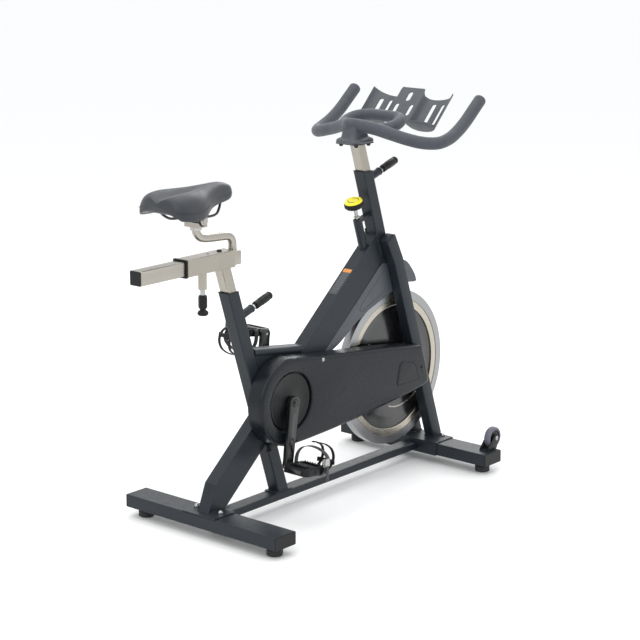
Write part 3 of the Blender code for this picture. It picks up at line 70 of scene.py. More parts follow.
def surface(name, col, rough, metal=0.0, var=0.12, rvar=0.07, grain=900.0, bump=0.12, depth=0.0004, kind="noise",
            stretch=(1, 1, 1), turn=0.0, coat=0.0, sheen=0.0, patch=14.0, painted_top_light=0.0, scratch=0.0, spec=0.5):
    m, t, b, link = nodes_of(name)
    n = t.nodes.new
    tc = n("ShaderNodeTexCoord")
    mp = n("ShaderNodeMapping")
    mp.inputs["Rotation"].default_value = (0, turn, 0)
    mp.inputs["Scale"].default_value = stretch
    link(tc.outputs["Object"], mp.inputs["Vector"])
    big = n("ShaderNodeTexNoise")
    big.inputs["Scale"].default_value = patch
    big.inputs["Detail"].default_value = 6
    link(tc.outputs["Object"], big.inputs["Vector"])
    mix = n("ShaderNodeMix")
    mix.data_type = "RGBA"
    lo = tuple(c * (1 - var) for c in col) + (1,)
    hi = tuple(min(1, c * (1 + var)) for c in col) + (1,)
    mix.inputs[6].default_value = lo
    mix.inputs[7].default_value = hi
    link(big.outputs["Fac"], mix.inputs[0])
    colour = mix.outputs[2]
    # painted top light: upward-facing faces are mixed towards pale grey, patchy with the colour noise, a painted
    # highlight from above
    if painted_top_light:
        ge = n("ShaderNodeNewGeometry")
        se = n("ShaderNodeSeparateXYZ")
        link(ge.outputs["Normal"], se.inputs[0])
        up = n("ShaderNodeMapRange")
        up.inputs["From Min"].default_value = 0.3
        up.inputs["From Max"].default_value = 1.0
        up.inputs["To Max"].default_value = painted_top_light
        link(se.outputs["Z"], up.inputs["Value"])
        mul = n("ShaderNodeMath")
        mul.operation = "MULTIPLY"
        link(up.outputs[0], mul.inputs[0])
        link(big.outputs["Fac"], mul.inputs[1])
        mx = n("ShaderNodeMix")
        mx.data_type = "RGBA"
        mx.inputs[7].default_value = (0.32, 0.33, 0.34, 1)
        link(mul.outputs[0], mx.inputs[0])
        link(colour, mx.inputs[6])
        colour = mx.outputs[2]
    link(colour, b.inputs["Base Color"])
    rn = n("ShaderNodeTexNoise")
    rn.inputs["Scale"].default_value = patch * 5
    rn.inputs["Detail"].default_value = 4
    link(mp.outputs[0], rn.inputs["Vector"])
    rr = n("ShaderNodeMapRange")
    rr.inputs["From Min"].default_value = 0.3
    rr.inputs["From Max"].default_value = 0.7
    rr.inputs["To Min"].default_value = max(0.02, rough - rvar)
    rr.inputs["To Max"].default_value = min(1, rough + rvar)
    link(rn.outputs["Fac"], rr.inputs["Value"])
    link(rr.outputs[0], b.inputs["Roughness"])
    b.inputs["Metallic"].default_value = metal
    b.inputs["Specular IOR Level"].default_value = spec
    b.inputs["Coat Weight"].default_value = coat
    b.inputs["Coat Roughness"].default_value = 0.18
    b.inputs["Sheen Weight"].default_value = sheen
    if kind == "leather":
        tx = n("ShaderNodeTexVoronoi")
        tx.feature = "SMOOTH_F1"
        tx.inputs["Scale"].default_value = grain
        h = tx.outputs["Distance"]
    elif kind == "weave":
        w1, w2 = n("ShaderNodeTexWave"), n("ShaderNodeTexWave")
        w1.bands_direction, w2.bands_direction = "X", "Z"
        ad = n("ShaderNodeMath")
        ad.operation = "MAXIMUM"
        for w in (w1, w2):
            w.inputs["Scale"].default_value = grain
            w.inputs["Distortion"].default_value = 0.4
            link(mp.outputs[0], w.inputs["Vector"])
        link(w1.outputs["Fac"], ad.inputs[0])
        link(w2.outputs["Fac"], ad.inputs[1])
        h = ad.outputs[0]
    else:
        tx = n("ShaderNodeTexNoise")
        tx.inputs["Scale"].default_value = grain
        tx.inputs["Detail"].default_value = 3
        h = tx.outputs["Fac"]
    if kind != "weave":
        link(mp.outputs[0], tx.inputs["Vector"])
    bp = n("ShaderNodeBump")
    bp.inputs["Strength"].default_value = bump
    bp.inputs["Distance"].default_value = depth
    link(h, bp.inputs["Height"])
    last = bp
    if scratch:
        sn = n("ShaderNodeTexNoise")
        sn.inputs["Scale"].default_value = 60
        sm = n("ShaderNodeMapping")
        sm.inputs["Rotation"].default_value = (0.4, 0.7, 0.2)
        sm.inputs["Scale"].default_value = (1, 1, 22)
        link(tc.outputs["Object"], sm.inputs[0])
        link(sm.outputs[0], sn.inputs["Vector"])
        b2 = n("ShaderNodeBump")
        b2.inputs["Strength"].default_value = scratch
        b2.inputs["Distance"].default_value = 0.0002
        link(sn.outputs["Fac"], b2.inputs["Height"])
        link(bp.outputs[0], b2.inputs["Normal"])
        last = b2
    link(last.outputs[0], b.inputs["Normal"])
    return m


# The upward-facing amount given to several materials below paints a lighter top on them: painted highlight, mixed in by
# surface()
POWDER = surface("powder_coat", (0.0135, 0.0182, 0.0240), 0.36, 0.0, var=0.10, rvar=0.05, grain=1500, bump=0.35, depth=0.0003,
                 coat=0.0, painted_top_light=0.07, spec=0.27)
COVER = surface("cover_abs", (0.0068, 0.0092, 0.0125), 0.30, 0.0, var=0.10, rvar=0.05, grain=1500, bump=0.10, depth=0.00015,
                coat=0.0, painted_top_light=0.03, spec=0.26)
GUARD = surface("guard_grey_plastic", (0.056, 0.064, 0.075), 0.42, 0.0, var=0.08, grain=2400, bump=0.25, depth=0.0003, painted_top_light=0.06)
BLACK = surface("black_plastic", (0.0048, 0.0052, 0.0060), 0.36, 0.0, grain=1500, bump=0.12, depth=0.0002, painted_top_light=0.02, spec=0.28)
BLACK_GLOSS = surface("black_lacquer", (0.006, 0.006, 0.007), 0.16, 0.0, rvar=0.05, grain=900, bump=0.06, depth=0.0002, coat=0.5)
CRANK = surface("crank_black", (0.0050, 0.0056, 0.0066), 0.24, 0.0, rvar=0.06, grain=1300, bump=0.15, depth=0.0002, coat=0.15,
                scratch=0.08)
RUBBER = surface("foot_rubber", (0.022, 0.022, 0.024), 0.78, 0.0, var=0.25, grain=1100, bump=0.4, depth=0.0005, painted_top_light=0.25)
STEEL_X = surface("satin_steel_x", (0.395, 0.372, 0.330), 0.34, 1.0, var=0.10, rvar=0.08, grain=900, bump=0.22, depth=0.0002,
                  stretch=(0.03, 1, 1), patch=9)
STEEL_AX = surface("satin_steel_post", (0.370, 0.345, 0.300), 0.33, 1.0, var=0.12, rvar=0.09, grain=900, bump=0.22,
                   depth=0.0002, stretch=(1, 1, 0.03), turn=math.radians(18), patch=9)
STEEL = surface("satin_steel", (0.400, 0.375, 0.335), 0.27, 1.0, var=0.08, rvar=0.015, grain=1600, bump=0.04, depth=0.0001)
CHROME = surface("chrome", (0.42, 0.42, 0.415), 0.10, 1.0, var=0.04, rvar=0.04, grain=500, bump=0.03, depth=0.0001)
FOAM = surface("bar_foam", (0.047, 0.054, 0.066), 0.66, 0.0, var=0.10, rvar=0.08, grain=1500, bump=0.55, depth=0.0006,
               sheen=0.12, painted_top_light=0.05)
SKIN = surface("saddle_skin", (0.0205, 0.0240, 0.0300), 0.44, 0.0, var=0.10, rvar=0.06, grain=620, bump=0.30, depth=0.0005,
               kind="leather", sheen=0.05, painted_top_light=0.05)
SKIN_SIDE = surface("saddle_side", (0.0125, 0.0145, 0.0180), 0.38, 0.0, var=0.10, grain=820, bump=0.22, depth=0.0004,
                    kind="leather")
YELLOW = surface("yellow_cap", (0.86, 0.74, 0.010), 0.30, 0.0, var=0.05, grain=1500, bump=0.08, depth=0.0002, coat=0.2)
FELT = surface("felt", (0.26, 0.21, 0.15), 0.95, 0.0, var=0.3, grain=700, bump=0.9, depth=0.001, sheen=0.3)
BELT = surface("belt_rubber", (0.018, 0.018, 0.019), 0.72, 0.0, grain=900, bump=0.3, depth=0.0004)
TYRE = surface("wheel_tyre", (0.115, 0.115, 0.150), 0.55, 0.0, var=0.15, grain=1100, bump=0.25, depth=0.0004, painted_top_light=0.1)
WEB = surface("webbing", (0.0070, 0.0076, 0.0085), 0.70, 0.0, var=0.2, grain=260, bump=0.8, depth=0.0006, kind="weave", sheen=0.25)
ORANGE = surface("label_orange", (0.66, 0.26, 0.045), 0.45, 0.0, var=0.06, grain=1500, bump=0.08, depth=0.0001)
LABEL = surface("label_grey", (0.050, 0.055, 0.062), 0.46, 0.0, var=0.30, grain=1500, bump=0.08, depth=0.0001, patch=160)
INK = surface("label_ink", (0.115, 0.120, 0.128), 0.5, 0.0, var=0.2, grain=1500, bump=0.05, depth=0.0001)


def turned_metal(name, col, rough, c, rings=5200.0):
    """Lathe-cut metal: fine concentric tool marks round an axle."""
    m, t, b, link = nodes_of(name)
    n = t.nodes.new
    tc = n("ShaderNodeTexCoord")
    se = n("ShaderNodeSeparateXYZ")
    link(tc.outputs["Object"], se.inputs[0])

    def math_(op, a, v):
        q = n("ShaderNodeMath")
        q.operation = op
        link(a, q.inputs[0])
        if isinstance(v, (int, float)):
            q.inputs[1].default_value = v
        else:
            link(v, q.inputs[1])
        return q.outputs[0]
    dx, dz = math_("SUBTRACT", se.outputs["X"], c[0]), math_("SUBTRACT", se.outputs["Z"], c[2])
    rad = math_("POWER", math_("ADD", math_("MULTIPLY", dx, dx), math_("MULTIPLY", dz, dz)), 0.5)
    no = n("ShaderNodeTexNoise")
    no.noise_dimensions = "1D"
    no.inputs["Scale"].default_value = 1.0
    no.inputs["Detail"].default_value = 8
    link(math_("MULTIPLY", rad, rings), no.inputs["W"])
    big = n("ShaderNodeTexNoise")
    big.inputs["Scale"].default_value = 20
    link(tc.outputs["Object"], big.inputs["Vector"])
    mix = n("ShaderNodeMix")
    mix.data_type = "RGBA"
    mix.inputs[6].default_value = tuple(x * 0.78 for x in col) + (1,)
    mix.inputs[7].default_value = tuple(min(1, x * 1.10) for x in col) + (1,)
    link(no.outputs["Fac"], mix.inputs[0])
    link(mix.outputs[2], b.inputs["Base Color"])
    rr = n("ShaderNodeMapRange")
    rr.inputs["To Min"].default_value = rough - 0.06
    rr.inputs["To Max"].default_value = rough + 0.08
    link(big.outputs["Fac"], rr.inputs["Value"])
    link(rr.outputs[0], b.inputs["Roughness"])
    b.inputs["Metallic"].default_value = 1.0
    bp = n("ShaderNodeBump")
    bp.inputs["Strength"].default_value = 0.25
    bp.inputs["Distance"].default_value = 0.0002
    link(no.outputs["Fac"], bp.inputs["Height"])
    link(bp.outputs[0], b.inputs["Normal"])
    return m


FW = W(0.3580, 0, 0.3117)
BB = W(-0.1700, 0, 0.3290)
RIM = turned_metal("turned_rim", (0.36, 0.365, 0.37), 0.30, FW)
STEP = turned_metal("turned_step", (0.50, 0.465, 0.395), 0.24, FW)

# ============================================================ mesh helpers
SC = bpy.context.scene.collection


def put(name, me, mat, body, sharp=38, repl=(), slot=None):
    o = bpy.data.objects.new(name, me)
    SC.objects.link(o)
    me.materials.clear()
    for q in (mat if isinstance(mat, (list, tuple)) else [mat]):
        me.materials.append(q)
    me.shade_smooth()
    me.set_sharp_from_angle(angle=math.radians(sharp))
    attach(o, body)
    if repl:
        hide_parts(*repl)
    return o


def mesh_from(bm, name, m=None):
    bmesh.ops.recalc_face_normals(bm, faces=bm.faces)
    if m is not None:
        bm.transform(m)
    me = bpy.data.meshes.new(name)
    bm.to_mesh(me)
    bm.free()
    return me


def basis(o, x, y):
    x = Vector(x).normalized()
    z = x.cross(Vector(y)).normalized()
    m = Matrix((x, z.cross(x), z)).transposed().to_4x4()
    m.translation = Vector(o)
    return m


def facing(o, d):
    """Local Z along d."""
    q = Vector(d).to_track_quat("Z", "Y").to_matrix().to_4x4()
    q.translation = Vector(o)
    return q


def side(y=0.0):
    """Local x = X, local y = Z, local z = -Y (towards the bike's right)."""
    return basis((MID, y, 0), (1, 0, 0), (0, 0, 1))


def lathe(name, prof, m, mat, body, n=48, **k):
    bm = bmesh.new()
    vs = [bm.verts.new((r, 0, z)) for r, z in prof]
    ed = [bm.edges.new(p) for p in zip(vs[:-1], vs[1:])]
    if prof[0][0] > 1e-6 and prof[-1][0] > 1e-6:
        ed.append(bm.edges.new((vs[-1], vs[0])))
    bmesh.ops.spin(bm, geom=vs + ed, cent=(0, 0, 0), axis=(0, 0, 1), angle=2 * math.pi, steps=n, use_merge=True)
    bmesh.ops.remove_doubles(bm, verts=bm.verts, dist=0.00002)
    return put(name, mesh_from(bm, name, m), mat, body, **k)


def dense(loop, r, n=5):
    """Closed outline with every corner rounded over a distance r."""
    out = []
    L = len(loop)
    for i in range(L):
        p, a, c = Vector(loop[i]), Vector(loop[i - 1]), Vector(loop[(i + 1) % L])
        d = min(r, 0.48 * (a - p).length, 0.48 * (c - p).length)
        s, e = p + (a - p).normalized() * d, p + (c - p).normalized() * d
        for k in range(n + 1):
            t = k / n
            q = s * (1 - t) ** 2 + p * 2 * t * (1 - t) + e * t * t
            if not out or (out[-1] - q).length > 0.0003:
                out.append(q)
    if (out[0] - out[-1]).length < 0.0003:
        out.pop()
    return out


def inset(loop, d):
    if abs(d) < 1e-9:
        return [tuple(p) for p in loop]
    L = len(loop)
    area = sum(loop[i][0] * loop[(i + 1) % L][1] - loop[(i + 1) % L][0] * loop[i][1] for i in range(L))
    s = 1 if area > 0 else -1
    out = []
    for i in range(L):
        a, p, c = Vector(loop[i - 1]), Vector(loop[i]), Vector(loop[(i + 1) % L])
        t = ((p - a).normalized() + (c - p).normalized())
        t = t.normalized() if t.length > 1e-6 else (c - p).normalized()
        out.append((p.x - s * t.y * d, p.y + s * t.x * d))
    return out


def puff(name, loop, prof, m, mat, body, holes=(), **k):
    """Moulded plate: rings (inset, height) lofted, capped both ends; holes are (outline, chamfer)."""
    bm = bmesh.new()

    def ring(l, z):
        return [bm.verts.new((p[0], p[1], z)) for p in l]

    def loft(a, b):
        for i in range(len(a)):
            j = (i + 1) % len(a)
            bm.faces.new((a[i], a[j], b[j], b[i]))

    def edges(vs):
        res = []
        for i in range(len(vs)):
            a, b = vs[i], vs[(i + 1) % len(vs)]
            res.append(bm.edges.get((a, b)) or bm.edges.new((a, b)))
        return res
    rs = [ring(inset(loop, d), z) for d, z in prof]
    for a, b in zip(rs[:-1], rs[1:]):
        loft(a, b)
    back, front = edges(rs[0]), edges(rs[-1])
    z0, z1 = prof[0][1], prof[-1][1]
    for hl, c in holes:
        s = 1 if z1 > z0 else -1
        hr = [ring(inset(hl, -c), z0), ring(hl, z0 + s * c), ring(hl, z1 - s * c), ring(inset(hl, -c), z1)]
        for a, b in zip(hr[:-1], hr[1:]):
            loft(a, b)
        back += edges(hr[0])
        front += edges(hr[-1])
    bmesh.ops.triangle_fill(bm, use_beauty=True, use_dissolve=False, edges=back)
    bmesh.ops.triangle_fill(bm, use_beauty=True, use_dissolve=False, edges=front)
    return put(name, mesh_from(bm, name, m), mat, body, **k)


def soft(t, e, s=1):
    """Edge-rounded thickness profile from 0 to t."""
    pr = [(e, 0), (e * 0.45, e * 0.12), (e * 0.12, e * 0.45), (0, e), (0, t - e), (e * 0.12, t - e * 0.45),
          (e * 0.45, t - e * 0.12), (e, t)]
    return [(a, b * s) for a, b in pr]


def circ(cx, cy, r, n=40):
    return [(cx + r * math.cos(2 * math.pi * i / n), cy + r * math.sin(2 * math.pi * i / n)) for i in range(n)]


def cat(ctrl, step=0.006):
    c = [Vector(p) for p in ctrl]
    c = [2 * c[0] - c[1]] + c + [2 * c[-1] - c[-2]]
    out = []
    for i in range(1, len(c) - 2):
        p0, p1, p2, p3 = c[i - 1:i + 3]
        n = max(2, int((p2 - p1).length / step))
        for k in range(n):
            t = k / n
            out.append(0.5 * (2 * p1 + (p2 - p0) * t + (2 * p0 - 5 * p1 + 4 * p2 - p3) * t * t + (3 * p1 - p0 - 3 * p2 + p3) * t ** 3))
    out.append(c[-2])
    return out


def rod(name, pts, r, mat, body, res=6, dome=False, make=True, **k):
    pts = [Vector(p) for p in pts]
    rad = [1.0] * len(pts)
    if dome:
        for end in (0, -1):
            d = (pts[end] - pts[1 if end == 0 else -2]).normalized()
            tip = pts[end]
            extra, er = [], []
            while len(pts) > 3 and (pts[1 if end == 0 else -2] - tip).length < r * 1.1:
                del pts[1 if end == 0 else -2], rad[1 if end == 0 else -2]
            for a in (0, 20, 40, 58, 74, 88):
                extra.append(tip - d * r * 0.55 * (1 - math.sin(math.radians(a))))
                er.append(math.cos(math.radians(a)) ** 0.7)
            if end == 0:
                pts[0] = pts[0] - d * r * 0.6
                pts, rad = extra[::-1] + pts, er[::-1] + rad
            else:
                pts[-1] = pts[-1] - d * r * 0.6
                pts, rad = pts + extra, rad + er
    cu = bpy.data.curves.new(name, "CURVE")
    cu.dimensions = "3D"
    cu.bevel_depth = r
    cu.bevel_resolution = res
    cu.use_fill_caps = True
    sp = cu.splines.new("POLY")
    sp.points.add(len(pts) - 1)
    for p, c, q in zip(sp.points, pts, rad):
        p.co = (*c, 1)
        p.radius = q
    o = bpy.data.objects.new("tmp", cu)
    SC.objects.link(o)
    dg = bpy.context.evaluated_depsgraph_get()
    me = bpy.data.meshes.new_from_object(o.evaluated_get(dg), depsgraph=dg)
    bpy.data.objects.remove(o, do_unlink=True)
    bm = bmesh.new()
    bm.from_mesh(me)
    bmesh.ops.remove_doubles(bm, verts=bm.verts, dist=0.00003)
    if not make:
        return bm
    return put(name, mesh_from(bm, name), mat, body, **k)


def ribbon(name, pts, wide, w, t, mat, body, **k):
    """Flat strap swept along a path, rounded edges; wide = direction of its width."""
    pts = [Vector(p) for p in pts]
    sec = [(-0.5, -0.25), (-0.44, -0.5), (0.44, -0.5), (0.5, -0.25), (0.5, 0.25), (0.44, 0.5), (-0.44, 0.5), (-0.5, 0.25)]
    bm = bmesh.new()
    prev = None
    for i, p in enumerate(pts):
        d = (pts[min(i + 1, len(pts) - 1)] - pts[max(i - 1, 0)]).normalized()
        wd = wide[i] if isinstance(wide, list) else Vector(wide)
        wd = (wd - d * wd.dot(d)).normalized()
        nd = d.cross(wd)
        row = [bm.verts.new(p + wd * a * w + nd * b * t) for a, b in sec]
        if prev:
            for j in range(8):
                bm.faces.new((prev[j], prev[(j + 1) % 8], row[(j + 1) % 8], row[j]))
        else:
            bm.faces.new(row[::-1])
        prev = row
    bm.faces.new(prev)
    return put(name, mesh_from(bm, name), mat, body, **k)


def block(name, lo, hi, r, mat, body, m=None, **k):
    bm = bmesh.new()
    bmesh.ops.create_cube(bm, size=1)
    for v in bm.verts:
        for q in range(3):
            v.co[q] = lo[q] if v.co[q] < 0 else hi[q]
    bmesh.ops.bevel(bm, geom=bm.edges[:], offset=r, segments=3, profile=0.5, affect="EDGES")
    return put(name, mesh_from(bm, name, m), mat, body, **k)


def fuse(o, voxel, smooth=6, factor=0.5):
    """Merges overlapping bodies into one skin with soft inner corners."""
    md = o.modifiers.new("fuse", "REMESH")
    md.mode = "VOXEL"
    md.voxel_size = voxel
    ms = o.modifiers.new("ease", "SMOOTH")
    ms.factor = factor
    ms.iterations = smooth
    dg = bpy.context.evaluated_depsgraph_get()
    me = bpy.data.meshes.new_from_object(o.evaluated_get(dg), depsgraph=dg)
    o.modifiers.clear()
    mats = list(o.data.materials)
    o.data = me
    me.materials.clear()
    for q in mats:
        me.materials.append(q)
    me.shade_smooth()
    return o


def bolt(name, p, d, r, h, mat, body, hexa=True):
    """Dome-head bolt with a round recess, seated at p and pointing along d."""
    d = Vector(d).normalized()
    lathe(name, [(0, -0.001), (r * 1.18, -0.001), (r * 1.18, 0.0006), (r, 0.0010), (r, h * 0.35), (r * 0.86, h * 0.75), (r * 0.55, h),
                 (r * 0.42, h), (r * 0.42, h * 0.35), (0, h * 0.35)], facing(p, d), mat, body, n=24 if hexa else 20, sharp=50)


def nut(name, p, d, r, h, mat, body):
    """Hexagon dome nut."""
    d = Vector(d).normalized()
    puff(name + "_hex", circ(0, 0, r * 1.1, 6), [(0, -0.0008), (0, h * 0.50), (r * 0.12, h * 0.56)], facing(p, d), mat, body, sharp=25)
    lathe(name + "_dome", [(0, 0), (r * 0.82, 0), (r * 0.82, h * 0.56), (r * 0.72, h * 0.80), (r * 0.42, h * 0.96), (0, h)],
          facing(p, d), mat, body, n=20)


# ============================================================ CAD nodes that stay
KEEP = {POWDER: ["rear_stabilizer", "front_stabilizer", "base_rail", "front_channel_bracket", "main_beam", "seat_tube",
                 "lower_strut", "head_tube", "fork_leg_left", "fork_leg_right", "top_bar", "bottom_bracket_shell",
                 "transport_bracket_left", "transport_bracket_right"],
        BLACK: ["rear_end_cap_left", "rear_end_cap_right", "front_end_cap_left", "front_end_cap_right", "belt_cover_inner",
                "seat_tube_bushing", "head_tube_bushing", "slider_collar", "slider_end_cap", "drive_pulley"],
        STEEL_AX: ["handlebar_post", "seat_post"], 
        STEEL: ["saddle_clamp", "flywheel_axle", "flywheel_pulley", "crank_axle", "brake_rod"],
        FELT: ["brake_pad"], BELT: ["drive_belt"], CRANK: ["saddle_rails"]}
ROUND = {"rear_stabilizer": 0.0030, "front_stabilizer": 0.0030, "main_beam": 0.0038, "seat_tube": 0.0008,
         "head_tube": 0.0008, "fork_leg_left": 0.0022, "fork_leg_right": 0.0022, "front_channel_bracket": 0.0018,
         "top_bar": 0.0006, "seat_post": 0.0008, "slider_collar": 0.0008, "saddle_clamp": 0.0018,
         "rear_end_cap_left": 0.0010, "rear_end_cap_right": 0.0010, "front_end_cap_left": 0.0010,
         "front_end_cap_right": 0.0010, "transport_bracket_left": 0.0006, "transport_bracket_right": 0.0006,
         "slider_end_cap": 0.0008, "base_rail": 0.0008, "lower_strut": 0.0008}
for mat_, names in KEEP.items():
    for nm in names:
        o = NODES[nm]
        for s_ in o.material_slots:
            s_.link = "OBJECT"
            s_.material = mat_
        if nm in ROUND:
            wd = o.modifiers.new("weld", "WELD")
            wd.merge_threshold = 0.00002
            bv = o.modifiers.new("round", "BEVEL")
            bv.width = ROUND[nm]
            bv.segments = 3
            bv.limit_method = "ANGLE"
            bv.angle_limit = math.radians(50)
            bv.use_clamp_overlap = True
            bv.harden_normals = False

# ============================================================ belt cover
def arc(cx, cy, r, a0, a1, n):
    return [(cx + r * math.cos(math.radians(a0 + (a1 - a0) * i / n)), cy + r * math.sin(math.radians(a0 + (a1 - a0) * i / n)))
            for i in range(n + 1)]


BX, BZ = -0.1700, 0.3290
cov = [Vector(p) for p in arc(BX, BZ, 0.1250, 268, 84, 64)]
tail = dense([(-0.1569, 0.4533), (-0.0559, 0.4371), (0.1125, 0.4177), (0.2700, 0.3990), (0.3980, 0.3805), (0.4220, 0.3770),
              (0.4485, 0.3019), (0.4575, 0.2560), (0.4261, 0.2475), (0.3500, 0.2370), (0.2600, 0.2285), (0.1200, 0.2160),
              (0.0000, 0.2085), (-0.1000, 0.2045), (-0.1744, 0.2041)], 0.020, 6)
cov = cov[1:-1] + [p for p in tail if p.x > -0.150]
C0, C1 = -0.0238, -0.0740
d_ = C0 - C1
hole = circ(BX, BZ, 0.0856, 72)
bm = bmesh.new()


def _ring(l, z):
    return [bm.verts.new((p[0], p[1], z)) for p in l]


def _loft(a, b):
    for i in range(len(a)):
        j = (i + 1) % len(a)
        bm.faces.new((a[i], a[j], b[j], b[i]))


def _edges(vs):
    return [bm.edges.get((vs[i], vs[(i + 1) % len(vs)])) or bm.edges.new((vs[i], vs[(i + 1) % len(vs)])) for i in range(len(vs))]


outer_prof = [(0.0, 0.0), (0.0, d_ * 0.70), (0.0005, d_ - 0.0095), (0.0020, d_ - 0.0050), (0.0050, d_ - 0.0018),
              (0.0085, d_ - 0.0004), (0.0120, d_)]
rs = [_ring(inset(cov, a), z) for a, z in outer_prof]
inner = [_ring(inset(cov, a), z) for a, z in [(0.0025, 0.0), (0.0025, d_ - 0.0090), (0.0060, d_ - 0.0035), (0.0125, d_ - 0.0025)]]
for a, b in zip(rs[:-1], rs[1:]):
    _loft(a, b)
for a, b in zip(inner[:-1], inner[1:]):
    _loft(a, b)
_loft(rs[0], inner[0])
hp = [(-0.0060, d_), (-0.0030, d_ - 0.0006), (-0.0008, d_ - 0.0022), (0.0, d_ - 0.0048), (0.0, d_ - 0.0110), (-0.0025, d_ - 0.0110),
      (-0.0060, d_ - 0.0025)]
hr = [_ring(inset(hole, a), z) for a, z in hp]
for a, b in zip(hr[:-1], hr[1:]):
    _loft(a, b)
bmesh.ops.triangle_fill(bm, use_beauty=True, use_dissolve=False, edges=_edges(rs[-1]) + _edges(hr[0]))
bmesh.ops.triangle_fill(bm, use_beauty=True, use_dissolve=False, edges=_edges(inner[-1]) + _edges(hr[-1]))
cover = put("belt_cover_shell", mesh_from(bm, "belt_cover_shell", side(C0)), COVER, "frame", sharp=32,
            repl=("belt_cover_outer",), slot="cover_plastic")


def bead(name, pts2, y, r, mat, body, flat=0.5, closed=True):
    """Half-sunk raised line on a side face."""
    pts = [W(p[0], y, p[1]) for p in pts2]
    if closed:
        pts = pts + [pts[0]]
    rod(name, pts, r, mat, body, res=3)


trap = dense([(0.296, 0.277), (0.310, 0.3405), (0.326, 0.3460), (0.382, 0.3330), (0.407, 0.2745)], 0.010, 5)
bead("cover_badge_edge", trap, C1 + 0.0002, 0.0013, COVER, "frame")
puff("cover_badge_panel", [tuple(p) for p in trap], [(0.002, -0.0005), (0.0025, 0.0009), (0.0050, 0.0012)], side(C1), COVER, "frame")
crease = [(p.x, p.z) for p in cat([Vector((0.030, 0, 0.3030)), Vector((0.090, 0, 0.3420)), Vector((0.168, 0, 0.3640)),
                                   Vector((0.270, 0, 0.3610)), Vector((0.392, 0, 0.3400)), Vector((0.420, 0, 0.2950)),
                                   Vector((0.430, 0, 0.2640))], 0.008)]
rod("cover_crease", [W(p[0], C1 + 0.0012, p[1]) for p in crease], 0.0016, COVER, "frame", res=3)
# round face plate inside the cover's hole, turning with the crank
lathe("pulley_face", [(0, 0.0022), (0.0250, 0.0022), (0.0300, 0.0004), (0.0700, 0.0000), (0.0760, 0.0020), (0.0795, 0.0020), (0.0815, -0.0010),
                      (0.0815, -0.0030), (0, -0.0030)], facing(BB + Y * -0.0655, -Y), BLACK, "crankset", n=72, sharp=30)
bolt("cover_bolt_top", W(-0.0374, C1, 0.4235), -Y, 0.0050, 0.0030, CHROME, "frame")
bolt("cover_bolt_front", W(0.4170, C1, 0.3100), -Y, 0.0045, 0.0025, BLACK, "frame")
bolt("cover_bolt_low", W(-0.1500, C1 + 0.001, 0.2140), -Y, 0.0042, 0.0025, BLACK, "frame")

tab = dense([(-0.2080, 0.2200), (-0.1800, 0.2060), (-0.1860, 0.1960), (-0.2180, 0.1860), (-0.2300, 0.1880), (-0.2290, 0.1990)], 0.006, 4)
puff("cover_tab", tab, soft(0.0040, 0.0010), side(-0.0300), COVER, "frame")
bolt("cover_tab_bolt", W(-0.2190, -0.0340, 0.1950), -Y, 0.0052, 0.0035, BLACK, "frame")

# ============================================================ flywheel
fm = facing(FW, -Y)
lathe("flywheel_rim", [(0.2078, -0.0140), (0.2310, -0.0140), (0.2325, -0.0125), (0.2325, 0.0125), (0.2310, 0.0140), (0.2078, 0.0140)],
      fm, RIM, "flywheel", n=160, repl=("flywheel_ring",), slot="machined_steel", sharp=30)
lathe("flywheel_step_ring", [(0.1875, -0.0112), (0.1890, -0.0122), (0.2060, -0.0128), (0.2068, -0.0118), (0.2079, -0.0118),
                             (0.2079, 0.0118), (0.2068, 0.0118), (0.2060, 0.0128), (0.1890, 0.0122), (0.1875, 0.0112)],
      fm, STEP, "flywheel", n=160, slot="machined_steel", sharp=30)
lathe("flywheel_web", [(0, 0.0310), (0.0150, 0.0310), (0.0150, 0.0330), (0.0225, 0.0330), (0.0240, 0.0310), (0.0240, 0.0130), (0.0300, 0.0085),
                       (0.0900, 0.0072), (0.1550, 0.0072), (0.1720, 0.0060), (0.1860, 0.0075), (0.1878, 0.0075), (0.1878, -0.0075),
                       (0.1860, -0.0075), (0.1720, -0.0060), (0.1550, -0.0072), (0.0900, -0.0072), (0.0300, -0.0085),
                       (0.0240, -0.0130), (0.0240, -0.0310), (0.0225, -0.0330), (0.0150, -0.0330), (0.0150, -0.0310), (0, -0.0310)],
      fm, BLACK_GLOSS, "flywheel", n=96, repl=("flywheel_disc",), slot="black_iron", sharp=34)
for i, (a0, a1, r0, r1) in enumerate(((20, 78, 0.118, 0.150), (140, 205, 0.140, 0.112), (262, 322, 0.120, 0.152))):
    for s in (1, -1):
        pts, wd = [], []
        for k in range(19):
            t = k / 18
            a = math.radians(a0 + (a1 - a0) * t)
            r = r0 + (r1 - r0) * t
            pts.append(FW + Vector((r * math.cos(a), s * 0.0074, r * math.sin(a))))
            wd.append(Vector((math.cos(a), 0, math.sin(a))))
        ribbon(f"flywheel_mark_{i}_{'l' if s > 0 else 'r'}", pts, wd, 0.0050, 0.0006, STEEL, "flywheel")

# ============================================================ flywheel guard
HD = 0.0400


def beam_z(x, off):
    return 0.4488 + 0.8525 * x + off / BEAM.x


